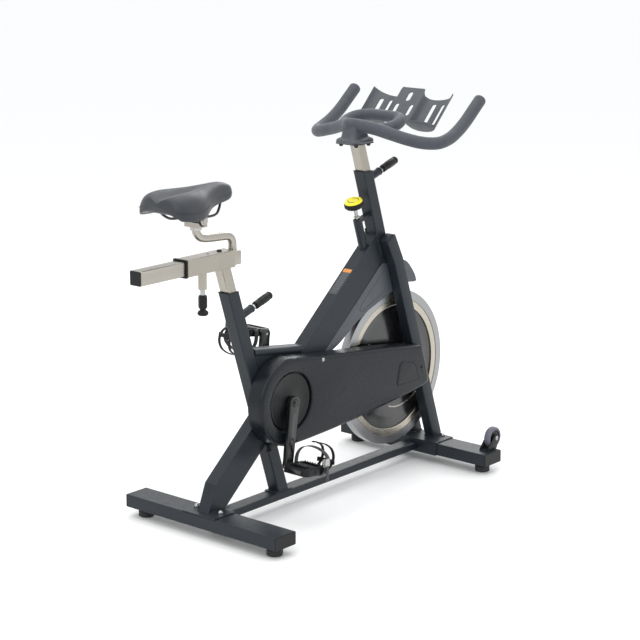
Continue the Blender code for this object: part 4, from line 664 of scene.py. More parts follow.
g_top = [(0.2870, beam_z(0.2870, -HD) - 0.0060), (0.0300, beam_z(0.0300, -HD) - 0.0012)]
guard = [(0.0300, 0.4040), (0.0735, 0.4238), (0.0980, 0.4337), (0.1355, 0.4575), (0.1793, 0.4837), (0.2300, 0.5080), (0.2846, 0.5273),
         (0.3197, 0.5374), (0.3600, 0.5520), (0.4057, 0.5630), (0.4569, 0.5560), (0.4500, 0.5790), (0.4321, 0.6038), (0.4114, 0.6250),
         (0.3850, 0.6370), (0.3600, 0.6390), (0.3300, 0.6330)] + g_top
gl = dense(guard, 0.012, 4)
bm = bmesh.new()
for s in (1, -1):
    rings = [_ring(inset(gl, a), z * s) for a, z in [(0.0060, 0.0160), (0.0010, 0.0160), (0.0, 0.0166), (0.0, 0.0188), (0.0012, 0.0200),
                                                     (0.0040, 0.0205)]]
    for a, b in zip(rings[:-1], rings[1:]):
        _loft(a, b)
    bmesh.ops.triangle_fill(bm, use_beauty=True, use_dissolve=False, edges=_edges(rings[-1]))
    bmesh.ops.triangle_fill(bm, use_beauty=True, use_dissolve=False, edges=_edges(rings[0]))
g1 = put("flywheel_guard_sides", mesh_from(bm, "guard", side(0)), GUARD, "frame", sharp=35, repl=("flywheel_guard",), slot="grey_plastic")
crown = cat([Vector((p[0], 0, p[1])) for p in [(0.4560, 0.5590), (0.4485, 0.5790), (0.4310, 0.6025), (0.4105, 0.6235), (0.3845, 0.6352),
                                               (0.3600, 0.6372), (0.3310, 0.6315)]], 0.006)
ribbon("flywheel_guard_crown", [p + Vector((MID, 0, 0)) for p in crown], Y, 0.0395, 0.0022, GUARD, "frame")
tri = dense([(0.3020, 0.6180), (0.1950, 0.5300), (0.1890, 0.5140), (0.1990, 0.5100), (0.2900, 0.5480), (0.3150, 0.5640)], 0.014, 5)
bead("guard_panel_edge", tri, -0.0205, 0.0013, GUARD, "frame")
bead("guard_panel_edge_left", tri, 0.0205, 0.0013, GUARD, "frame")

# ============================================================ saddle
SAD = [  # x, half width, crown, lobe height, edge height, underside
    (-0.6030, 0.034, 0.9360, 0.9400, 0.9150, 0.9140), (-0.6005, 0.062, 0.9390, 0.9455, 0.9010, 0.9070),
    (-0.5890, 0.080, 0.9415, 0.9520, 0.8925, 0.9040), (-0.5680, 0.089, 0.9430, 0.9555, 0.8885, 0.9050),
    (-0.5450, 0.0915, 0.9445, 0.9570, 0.8875, 0.9090), (-0.5220, 0.089, 0.9465, 0.9565, 0.8875, 0.9150),
    (-0.5000, 0.081, 0.9490, 0.9555, 0.8915, 0.9240), (-0.4790, 0.068, 0.9515, 0.9555, 0.8985, 0.9240),
    (-0.4560, 0.054, 0.9540, 0.9560, 0.9045, 0.9240), (-0.4300, 0.0430, 0.9565, 0.9572, 0.9080, 0.9245),
    (-0.4020, 0.0350, 0.9590, 0.9580, 0.9100, 0.9250), (-0.3760, 0.0300, 0.9600, 0.9585, 0.9110, 0.9255),
    (-0.3560, 0.0260, 0.9565, 0.9545, 0.9150, 0.9260), (-0.3420, 0.0190, 0.9500, 0.9480, 0.9210, 0.9280),
    (-0.3355, 0.0105, 0.9430, 0.9420, 0.9290, 0.9310)]
bm = bmesh.new()
rings = []
for x, w, c, lobe, e, u in SAD:
    dip = max(0.0, min(1.0, (-x - 0.42) / 0.09))
    pts = [(0, c - 0.0035 * dip), (w * 0.10, c - 0.0020 * dip), (w * 0.26, (c + lobe) / 2 + 0.001), (w * 0.48, lobe), (w * 0.68, lobe - (lobe - e) * 0.07),
           (w * 0.84, lobe - (lobe - e) * 0.24), (w * 0.95, lobe - (lobe - e) * 0.50), (w * 1.00, lobe - (lobe - e) * 0.72),
           (w * 1.00, e + 0.0040), (w * 0.975, e), (w * 0.92, e + 0.0015), (w * 0.90, e + 0.006), (w * 0.60, (e + u) / 2 + 0.004), (w * 0.28, u), (0, u)]
    rings.append([bm.verts.new((x + MID, y, z)) for y, z in pts] + [bm.verts.new((x + MID, -y, z)) for y, z in pts[-2:0:-1]])
nr = len(rings[0])
for a, b in zip(rings[:-1], rings[1:]):
    for i in range(nr):
        f = bm.faces.new((a[i], a[(i + 1) % nr], b[(i + 1) % nr], b[i]))
        k_ = min(i, nr - 1 - i)
        f.material_index = 1 if 7 <= k_ <= 14 else 0
for rg, rev in ((rings[0], False), (rings[-1], True)):
    c = bm.verts.new(sum((v.co for v in rg), Vector()) / nr + Vector((-0.004 if not rev else 0.003, 0, 0.001)))
    for i in range(nr):
        bm.faces.new((rg[i], rg[(i + 1) % nr], c))
saddle = put("saddle_cover", mesh_from(bm, "saddle_cover"), [SKIN, SKIN_SIDE], "saddle", sharp=180, repl=("saddle",), slot="saddle_skin")
sb = saddle.modifiers.new("soft", "SUBSURF")
sb.levels = sb.render_levels = 2
for s in (1, -1):
    seam = cat([W(x, s * w * 1.0, lobe - (lobe - e) * 0.66) for x, w, c, lobe, e, u in SAD[1:-1]], 0.006)
    rod(f"saddle_seam_{'l' if s > 0 else 'r'}", [p + Vector((0, s * -0.0004, 0)) for p in seam], 0.0007, SKIN_SIDE, "saddle", res=3)
# plastic shell pan under the foam with the rail sockets
block("saddle_pan_rear", W(-0.5720, -0.0360, 0.9080), W(-0.5420, 0.0360, 0.9230), 0.003, BLACK, "saddle")
block("saddle_pan_nose", W(-0.3900, -0.0160, 0.9080), W(-0.3620, 0.0160, 0.9260), 0.003, BLACK, "saddle")
for s in (1, -1):
    rod(f"clamp_bolt_{s}", [W(-0.4620, s * 0.0240, 0.8715), W(-0.4620, s * 0.0330, 0.8715)], 0.0062, CHROME, "saddle", res=2)
    lathe(f"clamp_washer_{s}", [(0, 0), (0.0125, 0), (0.0130, 0.0008), (0.0130, 0.0030), (0.0120, 0.0038), (0, 0.0038)],
          facing(W(-0.4620, s * 0.0282, 0.8715), Y * s), STEEL, "saddle", n=28)
lathe("clamp_neck", [(0.0118, 0), (0.0150, 0.0), (0.0155, 0.001), (0.0155, 0.0095), (0.0145, 0.0105), (0.0118, 0.0105)],
      facing(W(-0.4620, 0, 0.8440), Z), CHROME, "seat_slider", n=36)

S_PATH = [(-0.3240, 0.7695), (-0.3240, 0.7830), (-0.3270, 0.7980), (-0.3370, 0.8085), (-0.3540, 0.8120), (-0.3950, 0.8145), (-0.4280, 0.8175),
          (-0.4480, 0.8230), (-0.4590, 0.8340), (-0.4620, 0.8440), (-0.4620, 0.8500)]
sp_ = rod("s_post_tube", cat([W(x, 0, z) for x, z in S_PATH], 0.0022), 0.0114, STEEL, "seat_slider", res=8, slot="satin_steel")
fuse(sp_, 0.0011, 12)
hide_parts("saddle_slider")
block("slider_tube", W(-0.6812, -0.0190, 0.7325), W(-0.3090, 0.0190, 0.7705), 0.0028, STEEL_X, "seat_slider", slot="satin_steel")

# ============================================================ handlebar
bar_half = [(0.1660, 0, 1.0550), (0.1830, 0.0220, 1.0515), (0.2030, 0.0600, 1.0430), (0.2210, 0.1050, 1.0300), (0.2330, 0.1500, 1.0190),
            (0.2520, 0.1900, 1.0105), (0.2840, 0.2190, 1.0085), (0.3220, 0.2290, 1.0170), (0.3600, 0.2300, 1.0330),
            (0.4000, 0.2300, 1.0580), (0.4380, 0.2300, 1.0885), (0.4757, 0.2300, 1.1190)]
full = [W(x, -y, z) for x, y, z in bar_half[:0:-1]] + [W(x, y, z) for x, y, z in bar_half]
loop_half = [(0.3170, 0, 1.0640), (0.3160, 0.0350, 1.0640), (0.3080, 0.0640, 1.0625), (0.2880, 0.0830, 1.0580), (0.2600, 0.0880, 1.0500),
             (0.2320, 0.0780, 1.0430), (0.2080, 0.0600, 1.0420)]
lp = [W(x, -y, z) for x, y, z in loop_half[:0:-1]] + [W(x, y, z) for x, y, z in loop_half]
b1 = rod("bar_a", cat(full, 0.006), 0.0180, FOAM, "handlebar_assembly", res=7, dome=True, make=False)
b2 = rod("bar_b", cat(lp, 0.006), 0.0172, FOAM, "handlebar_assembly", res=7, make=False)
tmp = bpy.data.meshes.new("t")
b2.to_mesh(tmp)
b2.free()
b1.from_mesh(tmp)
bar = put("handlebar_grip", mesh_from(b1, "handlebar_grip"), FOAM, "handlebar_assembly", sharp=180, repl=("handlebar",), slot="bar_foam")
fuse(bar, 0.0022, 5)

# mount: plate with rounded ends and a flared neck, one moulding
MX = 0.1875
pl = dense([(MX - 0.0490, -0.0300), (MX - 0.0300, -0.0430), (MX + 0.0300, -0.0430), (MX + 0.0490, -0.0300), (MX + 0.0490, 0.0300), (MX + 0.0300, 0.0430),
            (MX - 0.0300, 0.0430), (MX - 0.0490, 0.0300)], 0.022, 6)
pm = basis((MID, 0, 1.0020), (1, 0, 0), (0, 1, 0))
mount = puff("mount_moulding", pl, [(0.0030, 0), (0.0006, 0.0016), (0.0, 0.0050), (0.0020, 0.0095), (0.0080, 0.0130), (0.0160, 0.0150)], pm, GUARD,
             "handlebar_assembly", sharp=60, repl=("handlebar_mount",), slot="powder_coat")
nk = dense([(MX - 0.0350, -0.0250), (MX + 0.0340, -0.0250), (MX + 0.0340, 0.0250), (MX - 0.0350, 0.0250)], 0.014, 6)
mn = puff("mount_neck", nk, [(-0.0060, 0.0110), (-0.0020, 0.0170), (0.0, 0.0240), (0.0010, 0.0340), (0.0015, 0.0480)], pm, GUARD, "handlebar_assembly", sharp=60)
bmj = bmesh.new()
bmj.from_mesh(mount.data)
bmj.from_mesh(mn.data)
bmj.to_mesh(mount.data)
bmj.free()
bpy.data.objects.remove(mn, do_unlink=True)
fuse(mount, 0.0012, 3)
for i, (dx, dy) in enumerate(((-0.0275, -0.0275), (0.0275, -0.0275), (0.0275, 0.0275), (-0.0275, 0.0275))):
    bolt(f"mount_bolt_{i}", W(MX + dx, dy, 0.9988), -Z, 0.0064, 0.0075, BLACK, "handlebar_assembly")
block("mount_plate", W(MX - 0.0400, -0.0370, 0.9985), W(MX + 0.0400, 0.0370, 1.0025), 0.0012, POWDER, "handlebar_assembly")

# ============================================================ sheet holder
HU, HN = Vector((0.70, 0, 0.715)).normalized(), Vector((-0.715, 0, 0.70)).normalized()
H0 = W(0.3780, 0, 1.0460)
half = cat([Vector((a, b, 0)) for a, b in [(0.0, 0.0), (0.0200, 0.0), (0.0400, 0.0), (0.0450, -0.0045), (0.0530, -0.0160), (0.0660, -0.0235), (0.0850, -0.0265),
                                           (0.1060, -0.0250), (0.1250, -0.0190), (0.1380, -0.0090), (0.1450, 0.0010)]], 0.0035)
prof = [(-p.x, p.y) for p in half[:0:-1]] + [(p.x, p.y) for p in half]
bm = bmesh.new()
rows = []
NT = 10
for k in range(NT + 1):
    row = []
    for a, b in prof:
        q = max(0.0, min(1.0, (abs(a) - 0.0400) / 0.0060))
        lo_ = -0.002 * (1 - q) - 0.012 * q
        hi_ = 0.118 * (1 - q) + (0.098 + 0.012 * max(0.0, (abs(a) - 0.06) / 0.085)) * q
        t = k / NT
        row.append(bm.verts.new(H0 + HU * (lo_ + (hi_ - lo_) * t) + HN * b + Y * a))
    rows.append(row)
for k in range(NT):
    for i in range(len(prof) - 1):
        bm.faces.new((rows[k][i], rows[k][i + 1], rows[k + 1][i + 1], rows[k + 1][i]))
hold = put("holder_sheet", mesh_from(bm, "holder_sheet"), GUARD, "handlebar_assembly", sharp=40, repl=("tablet_holder",), slot="powder_coat")
md = hold.modifiers.new("t", "SOLIDIFY")
md.thickness = 0.0030
md.offset = 0


def cutter(u0, u1, y, w):
    n = 10
    hw = (u1 - u0 - w) / 2
    lp_ = [(hw + w / 2 * math.cos(math.radians(-90 + 180 * i / n)), w / 2 * math.sin(math.radians(-90 + 180 * i / n))) for i in range(n + 1)] + \
          [(-hw + w / 2 * math.cos(math.radians(90 + 180 * i / n)), w / 2 * math.sin(math.radians(90 + 180 * i / n))) for i in range(n + 1)]
    m = basis(H0 + HU * (u0 + u1) / 2 + Y * y - HN * 0.012, HU, Y)
    b = bmesh.new()
    lo = [b.verts.new((p[0], p[1], -0.03)) for p in lp_]
    hi = [b.verts.new((p[0], p[1], 0.03)) for p in lp_]
    for i in range(len(lp_)):
        j = (i + 1) % len(lp_)
        b.faces.new((lo[i], lo[j], hi[j], hi[i]))
    b.faces.new(lo[::-1])
    b.faces.new(hi)
    o = bpy.data.objects.new("cut", mesh_from(b, "cut", m))
    SC.objects.link(o)
    return o


def carve(o, *cs):
    for c in cs:
        md_ = o.modifiers.new("c", "BOOLEAN")
        md_.object = c
        md_.solver = "EXACT"
    dg = bpy.context.evaluated_depsgraph_get()
    me = bpy.data.meshes.new_from_object(o.evaluated_get(dg), depsgraph=dg)
    o.modifiers.clear()
    mats = [s.material for s in o.material_slots]
    o.data = me
    me.materials.clear()
    for q in mats[:1]:
        me.materials.append(q)
    for p in me.polygons:
        p.material_index = 0
    for c in cs:
        bpy.data.objects.remove(c, do_unlink=True)
    me.shade_smooth()
    me.set_sharp_from_angle(angle=math.radians(35))


cs = [cutter(0.070, 0.103, 0.0, 0.016), cutter(0.018, 0.058, 0.026, 0.013), cutter(0.018, 0.058, -0.026, 0.013)]
for s in (1, -1):
    cs += [cutter(0.010, 0.086, s * 0.080, 0.013), cutter(0.010, 0.086, s * 0.113, 0.013)]
carve(hold, *cs)
for s in (1, -1):
    lip = [(s * a, b) for a, b in ((0.0400, 0.0), (0.0530, -0.0160), (0.0660, -0.0235), (0.0850, -0.0265), (0.1060, -0.0250), (0.1250, -0.0190),
                                   (0.1380, -0.0090), (0.1450, 0.0010), (0.1400, 0.0120), (0.1150, 0.0200), (0.0700, 0.0200), (0.0450, 0.0120))]
    puff(f"holder_tray_{'l' if s > 0 else 'r'}", dense(lip, 0.006, 4), soft(0.0030, 0.0010), basis(H0 + HU * -0.0125, Y, HN), GUARD, "handlebar_assembly")
block("holder_clip", W(0.3300, -0.0145, 1.0540), W(0.3440, 0.0145, 1.0740), 0.002, BLACK, "handlebar_assembly")
block("holder_arm", W(0.3380, -0.0150, 1.0558), W(0.3900, 0.0150, 1.0592), 0.0012, GUARD, "handlebar_assembly")

# ============================================================ cranks and pedals
CS, CC, CL = 0.25, 0.9682, 0.17


def hull2(x0, z0, r0, x1, z1, r1, n=16):
    d = math.hypot(x1 - x0, z1 - z0)
    base = math.degrees(math.atan2(z1 - z0, x1 - x0))
    g = math.degrees(math.acos((r0 - r1) / d))
    a = arc(x0, z0, r0, base + g, base + 360 - g, n)
    b = arc(x1, z1, r1, base - g, base + g, n)
    out = []
    for p, q in ((a, b[0]), (b, a[0])):
        out += p
        e = p[-1]
        for k in range(1, 14):
            out.append((e[0] + (q[0] - e[0]) * k / 14, e[1] + (q[1] - e[1]) * k / 14))
    return out


for lr, s, y_in, fl in (("right", -1, 0.0706, 0.0150), ("left", 1, 0.0346, 0.0200)):
    dx, dz = s * CS, s * CC
    px_, pz_ = BX + dx * CL, BZ + dz * CL
    m = basis((MID, s * y_in, 0), (1, 0, 0), (0, 0, 1))
    sg = -s   # local z of m is -Y

    def bend(o):
        for v in o.data.vertices:
            t = ((v.co.x - MID - BX) * dx + (v.co.z - BZ) * dz) / CL
            v.co.y += s * fl * max(0.0, min(1.0, (t - 0.05) / 0.90))
    arm = puff(f"crank_arm_{lr}", hull2(BX, BZ, 0.0190, px_, pz_, 0.0145), soft(0.0165, 0.0030, sg), m, CRANK, "crankset", repl=(f"crank_{lr}",), slot="alloy_black")
    bend(arm)
    gx0, gz0, gx1, gz1 = BX + dx * 0.034, BZ + dz * 0.034, BX + dx * 0.140, BZ + dz * 0.140
    gr = puff(f"crank_groove_{lr}", hull2(gx0, gz0, 0.0060, gx1, gz1, 0.0045, 8), [(0.0, sg * 0.0160), (0.0003, sg * 0.0168), (0.0020, sg * 0.0168)], m,
              BLACK_GLOSS, "crankset")
    bend(gr)
    f0 = W(BX, s * (y_in + 0.0165), BZ)
    lathe(f"crank_cap_{lr}", [(0, 0.0032), (0.0052, 0.0032), (0.0056, 0.0012), (0.0085, 0.0012), (0.0102, 0.0026), (0.0112, 0.0018), (0.0115, -0.001), (0, -0.001)],
          facing(f0, Y * s), CRANK, "crankset", n=32)
    yo = s * (y_in + 0.0165 + fl)
    eye = W(px_, yo, pz_)
    lathe(f"spindle_end_{lr}", [(0, 0.0012), (0.0030, 0.0012), (0.0034, 0.0003), (0.0062, 0.0003), (0.0070, -0.0004), (0.0070, -0.003), (0, -0.003)],
          facing(W(px_, s * (y_in + fl) + s * 0.0006, pz_), Y * -s), CHROME, "crankset", n=24)
    # ---- pedal, in its own frame: x forward, y outboard from the crank, z up
    ang = math.radians(6 if s < 0 else 188)
    y0 = y_in + 0.0165 + fl + 0.0090
    PM = Matrix.Translation(W(px_, 0, pz_)) @ Matrix.Rotation(ang, 4, "Y")
    body = f"pedal_{lr}"

    def L(x, y, z):
        return PM @ Vector((x, s * (y0 + y), z))
    PY = 0.0880
    flat_m = PM @ basis((0, s * y0, 0), (1, 0, 0), (0, 1, 0))

    def plate(name, pts, z0, z1, mat, holes=(), e=0.0022, r=0.006):
        pp = dense([(a, s * b) for a, b in pts], r, 5)
        hh = [(dense([(a, s * b) for a, b in h], 0.004, 4), 0.0006) for h in holes]
        mm = flat_m @ Matrix.Translation((0, 0, z0))
        return puff(name, pp, soft(z1 - z0, e), mm, mat, body, holes=hh, slot="black_plastic")
    win = lambda x0, x1, ya, yb: [(x0, ya), (x1, ya), (x1, yb), (x0, yb)]
    pb = plate(f"pedal_body_{lr}", [(-0.0420, 0.006), (-0.0340, 0), (0.0340, 0), (0.0420, 0.006), (0.0420, PY - 0.008), (0.0330, PY), (-0.0330, PY), (-0.0420, PY - 0.008)],
               -0.0105, 0.0105, BLACK, holes=[win(-0.0350, -0.0145, 0.012, PY - 0.014), win(0.0145, 0.0350, 0.012, PY - 0.014)])
    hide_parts(f"pedal_{lr}")
    for i, xx in enumerate((-0.0395, -0.0120, 0.0120, 0.0395)):
        for j in range(8):
            yy = 0.012 + j * (PY - 0.026) / 7
            lathe(f"pedal_{lr}_pin_{i}_{j}", [(0, 0.0135), (0.0011, 0.0133), (0.0019, 0.0105), (0.0019, 0.0095), (0, 0.0095)],
                  PM @ basis((xx, s * (y0 + yy), 0), (1, 0, 0), (0, 1, 0)), BLACK, body, n=8)
    lathe(f"pedal_barrel_{lr}", [(0, 0), (0.0100, 0), (0.0108, 0.001), (0.0095, 0.010), (0.0088, 0.040), (0.0095, PY - 0.008), (0.0108, PY - 0.001), (0.0095, PY + 0.0010),
                                 (0.0060, PY + 0.0024), (0, PY + 0.0030)],
          PM @ facing((0, s * y0, 0), Y * s), BLACK, body, n=28)
    lathe(f"pedal_neck_{lr}", [(0, -0.0085), (0.0085, -0.0085), (0.0085, -0.0035), (0.0062, -0.0030), (0.0062, 0.002), (0, 0.002)],
          PM @ facing((0, s * y0, 0), Y * s), CHROME, body, n=24)
    for i, xx in enumerate((-0.0425, 0.0425)):   # reflectors, front and rear
        block(f"pedal_reflector_{lr}_{i}", (xx - 0.0012, s * (y0 + PY / 2) - 0.024, -0.0060), (xx + 0.0012, s * (y0 + PY / 2) + 0.024, 0.0060), 0.0008,
              BLACK_GLOSS, body, m=PM)
    # toe cage: two ribs and a nose band
    yc = y0 + PY / 2
    for i, off in enumerate((-0.0200, 0.0200)):
        rib = [L(x, PY / 2 + off * k, z) for x, z, k in ((0.0380, -0.0112, 1), (0.0560, -0.0108, 1), (0.0740, -0.0070, 1.02), (0.0880, 0.0020, 1.02), (0.0965, 0.0160, 1),
                                                        (0.0975, 0.0320, 0.92), (0.0900, 0.0480, 0.80), (0.0740, 0.0600, 0.66), (0.0540, 0.0675, 0.5),
                                                        (0.0380, 0.0700, 0.42))]
        ribbon(f"toe_cage_{lr}_{i}", cat(rib, 0.006), PM.to_3x3() @ Y, 0.0085, 0.0032, BLACK, body)
    nose = [L(0.0880 + 0.0080 * math.cos(math.radians(a)), PY / 2 + 0.0300 * math.sin(math.radians(a)), 0.0110) for a in range(-90, 91, 12)]
    ribbon(f"toe_nose_{lr}", nose, PM.to_3x3() @ Z, 0.0120, 0.0030, BLACK, body)
    # webbing strap through the pedal and over the foot, buckle and loose tail outboard
    hw = PY / 2 + 0.0035
    st = [L(0.0220, 0.0060, -0.0125), L(0.0220, -0.0040, -0.0060), L(0.0215, -0.0055, 0.0120), L(0.0230, -0.0030, 0.0330), L(0.0275, 0.0080, 0.0500),
          L(0.0350, 0.0270, 0.0570), L(0.0430, 0.0480, 0.0545), L(0.0480, 0.0700, 0.0450), L(0.0460, 0.0870, 0.0300), L(0.0390, 0.0925, 0.0150),
          L(0.0310, 0.0925, 0.0010), L(0.0260, 0.0900, -0.0080), L(0.0220, PY - 0.0060, -0.0125)]
    top = ribbon(f"toe_strap_band_{lr}", cat(st, 0.004), PM.to_3x3() @ Vector((1, 0, 0)), 0.0150, 0.0020, WEB, body, slot="webbing")
    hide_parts(f"toe_strap_{lr}")
    ribbon(f"toe_strap_under_{lr}", [L(0.0230, PY / 2 - hw + 0.005, -0.0125), L(0.0230, PY / 2, -0.0130), L(0.0230, PY / 2 + hw - 0.005, -0.0125)],
           PM.to_3x3() @ Vector((1, 0, 0)), 0.0150, 0.0020, WEB, body)
    # buckle
    bm_ = PM @ basis((0.0290, s * (y0 + PY + 0.0030), 0.0240), (1, 0, 0), (0, 0, 1))
    zs = -s
    puff(f"buckle_frame_{lr}", dense([(-0.0125, -0.0110), (0.0125, -0.0110), (0.0125, 0.0110), (-0.0125, 0.0110)], 0.004, 4), soft(0.0060, 0.0012, zs), bm_, STEEL, body,
         holes=[(dense([(-0.0085, -0.0070), (0.0085, -0.0070), (0.0085, 0.0000), (-0.0085, 0.0000)], 0.002, 3), 0.0005 * 1)] if False else ())
    puff(f"buckle_lever_{lr}", dense([(-0.0095, -0.0060), (0.0095, -0.0060), (0.0080, 0.0120), (-0.0080, 0.0120)], 0.003, 4),
         [(0.001, zs * 0.0050), (0, zs * 0.0060), (0, zs * 0.0085), (0.001, zs * 0.0095)], bm_, CHROME, body)
    rod(f"buckle_roller_{lr}", [bm_ @ Vector((-0.0105, -0.0075, zs * 0.0070)), bm_ @ Vector((0.0105, -0.0075, zs * 0.0070))], 0.0022, CHROME, body, res=3)
    tail_ = cat([L(0.0290, PY + 0.0080, 0.0200), L(0.0300, PY + 0.0110, 0.0100), L(0.0320, PY + 0.0115, -0.0020), L(0.0350, PY + 0.0095, -0.0150),
                 L(0.0380, PY + 0.0080, -0.0270)], 0.004)
    ribbon(f"strap_tail_{lr}", tail_, PM.to_3x3() @ Vector((1, 0, 0)), 0.0110, 0.0018, WEB, body)

# ============================================================ resistance knob
RT = W(0.2000, 0, 0.7780)
kb = RT + AX * 0.0330
rod("knob_shank", [RT + AX * 0.0240, RT + AX * 0.0360], 0.0058, CHROME, "resistance_knob", res=4)
lathe("knob_skirt", [(0, 0), (0.0120, 0), (0.0130, 0.0010), (0.0135, 0.0030), (0.0240, 0.0055), (0.0268, 0.0090), (0.0272, 0.0120), (0.0272, 0.0205), (0.0262, 0.0225), (0, 0.0225)],
      facing(kb, AX), BLACK, "resistance_knob", n=64, repl=("resistance_knob",), slot="yellow_cap")
lathe("knob_cap", [(0.0, 0.0215), (0.0258, 0.0215), (0.0262, 0.0245), (0.0250, 0.0275), (0.0225, 0.0290), (0.0200, 0.0292), (0.0190, 0.0284), (0.0120, 0.0280), (0.0, 0.0280)],
      facing(kb, AX), YELLOW, "resistance_knob", n=64)
km = facing(kb, AX)
for i in range(24):
    a = 2 * math.pi * i / 24
    c = Vector((0.0272 * math.cos(a), 0.0272 * math.sin(a), 0))
    rod(f"knob_rib_{i}", [km @ (c + Vector((0, 0, 0.0098))), km @ (c + Vector((0, 0, 0.0205)))], 0.0013, BLACK, "resistance_knob", res=2)
for i, a0 in enumerate((25, 205)):
    pts, wd = [], []
    for k in range(12):
        a = math.radians(a0 + 110 * k / 11)
        pts.append(km @ Vector((0.0150 * math.cos(a), 0.0150 * math.sin(a), 0.0283)))
        wd.append((km.to_3x3() @ Vector((math.cos(a), math.sin(a), 0))))
    ribbon(f"knob_arc_{i}", pts, wd, 0.0022, 0.0006, BLACK, "resistance_knob")
lathe("rod_collar", [(0, 0), (0.0080, 0), (0.0085, 0.0006), (0.0085, 0.0040), (0.0078, 0.0046), (0, 0.0046)], facing(RT + AX * 0.0060, AX), CHROME, "brake", n=28)

# ============================================================ pull pins


def pull_pin(node, root, d, body, foot=False):
    """Collar, shank and hand grip with finger slot and ribs. root = boss foot on the tube's face."""
    d = Vector(d).normalized()
    f = facing(root, d)
    lathe(f"{node}_collar", [(0, 0.0455), (0.0070, 0.0455), (0.0072, 0.0470), (0.0072, 0.0560), (0.0060, 0.0575), (0.0056, 0.0575), (0.0056, 0.0620), (0, 0.0620)] if not foot else
          [(0, 0.0455), (0.0066, 0.0455), (0.0066, 0.0610), (0, 0.0610)], f, CHROME, body, n=28, repl=(node,), slot="black_plastic")
    R = 0.0112
    pr = [(0, 0.0610), (R - 0.0018, 0.0612), (R - 0.0004, 0.0622), (R, 0.0640)]
    if foot:
        pr += [(R, 0.0960), (0.0082, 0.0985), (0.0080, 0.1010), (0.0130, 0.1050), (0.0148, 0.1085), (0.0146, 0.1130), (0.0115, 0.1160), (0, 0.1165)]
    else:
        pr += [(R, 0.0780), (R - 0.0012, 0.0795), (R - 0.0012, 0.0810), (R, 0.0825), (R, 0.1150), (R - 0.0008, 0.1165), (R - 0.0008, 0.1180), (R, 0.1195), (R, 0.1240), (R - 0.0020, 0.1270),
               (0.0060, 0.1275), (0.0050, 0.1262), (0, 0.1262)]
    lathe(f"{node}_grip", pr, f, BLACK, body, n=36)
    for k in range(8):
        a = 2 * math.pi * k / 8
        c = Vector((R * math.cos(a), R * math.sin(a), 0))
        rod(f"{node}_rib_{k}", [f @ (c + Vector((0, 0, 0.0850 if not foot else 0.0660))), f @ (c + Vector((0, 0, 0.1130 if not foot else 0.0940)))], 0.0008, BLACK, body, res=2)


def ax_pt(x0, z0, z):
    return W(x0 - (z - z0) * 0.3255, 0, z)


PS, PH = ax_pt(-0.3408, 0.6570, 0.5770), ax_pt(0.2254, 0.9150, 0.8850)
pull_pin("pull_pin_seat_height", PS + OUT * 0.0200, OUT, "pull_pin_seat_height")
pull_pin("pull_pin_handlebar", PH + OUT * 0.0200, OUT, "pull_pin_handlebar")
pull_pin("pull_pin_seat_slide", W(-0.4403, 0, 0.7285), -Z, "pull_pin_seat_slide", foot=True)
for nm, c in (("seat", PS), ("head", PH)):
    lathe(f"{nm}_boss_ring", [(0.0060, 0), (0.0112, 0), (0.0118, 0.0008), (0.0118, 0.0052), (0.0110, 0.0060), (0.0060, 0.0060)], facing(c + OUT * 0.0625, OUT), POWDER, "frame", n=32)

# ============================================================ seat slider hardware
lathe("slider_plug", [(0, 0.0042), (0.0050, 0.0040), (0.0068, 0.0028), (0.0072, 0.0010), (0.0072, -0.0005), (0, -0.0005)], facing(W(-0.3750, 0, 0.7745), Z), BLACK, "seat_post", n=24)
# black gloss disc with a thin lip on the sleeve's top where a hole is: its black is painted shade for the hole's dark
# inside
lathe("sleeve_hole_painted_shade", [(0, 0.0003), (0.0030, 0.0003), (0.0034, 0.0006), (0.0044, 0.0006), (0.0046, 0.0), (0.0046, -0.0008), (0, -0.0008)], facing(W(-0.4200, 0, 0.7745), Z), BLACK_GLOSS, "seat_post", n=20)
cw = [(-0.0241, -0.0236), (0.0241, -0.0236), (0.0241, 0.0236), (-0.0241, 0.0236)]

# mitred sleeve where each fork leg bends up to the head tube
LT, LB, LF = (0.2910, 0.7160), (0.3280, 0.6440), (0.5270, 0.0672)
for lr, s in (("left", 1), ("right", -1)):
    p = [Vector((q[0], 0, q[1])) for q in (LT, LB, LF)]
    d1, d2 = (p[1] - p[0]).normalized(), (p[2] - p[1]).normalized()
    mit = (d1 + d2).normalized()
    st_ = [(p[0], d1.cross(Y), 1.0), (p[1] - d1 * 0.004, d1.cross(Y), 1.0), (p[1], mit.cross(Y), 1.0 / mit.dot(d1)),
           (p[1] + d2 * 0.004, d2.cross(Y), 1.0), (p[2] - d2 * 0.0010, d2.cross(Y), 1.0)]
    hw_, hd_, c_ = 0.0164, 0.0203, 0.0024
    sec = []
    for sx_, sy_ in ((1, 1), (-1, 1), (-1, -1), (1, -1)):
        for k in range(4):
            a = math.atan2(sy_, sx_) - math.pi / 4 + math.pi / 2 * k / 3
            sec.append((sx_ * (hd_ - c_) + c_ * math.cos(a), sy_ * (hw_ - c_) + c_ * math.sin(a)))
    bm = bmesh.new()
    prev = None
    for q, nd, f in st_:
        row = [bm.verts.new(W(q.x, 0, q.z) + nd * u * f + Y * (s * 0.0380 + v)) for u, v in sec]
        if prev:
            _loft(prev, row)
        else:
            bm.faces.new(row[::-1])
        prev = row
    bm.faces.new(prev)
    put(f"fork_leg_skin_{lr}", mesh_from(bm, f"fork_leg_skin_{lr}"), POWDER, "frame", sharp=40)
    cap_ = dense([(-0.0180, -0.0140), (0.0180, -0.0140), (0.0180, 0.0140), (-0.0180, 0.0140)], 0.003, 3)
    puff(f"fork_leg_cap_{lr}", cap_, [(0, -0.001), (0, 0.0008), (0.0008, 0.0014)], basis(W(LT[0], s * 0.0380, LT[1]), d1.cross(Y), Y if d1.cross(Y).cross(Y).dot(d1) < 0 else -Y), POWDER, "frame")

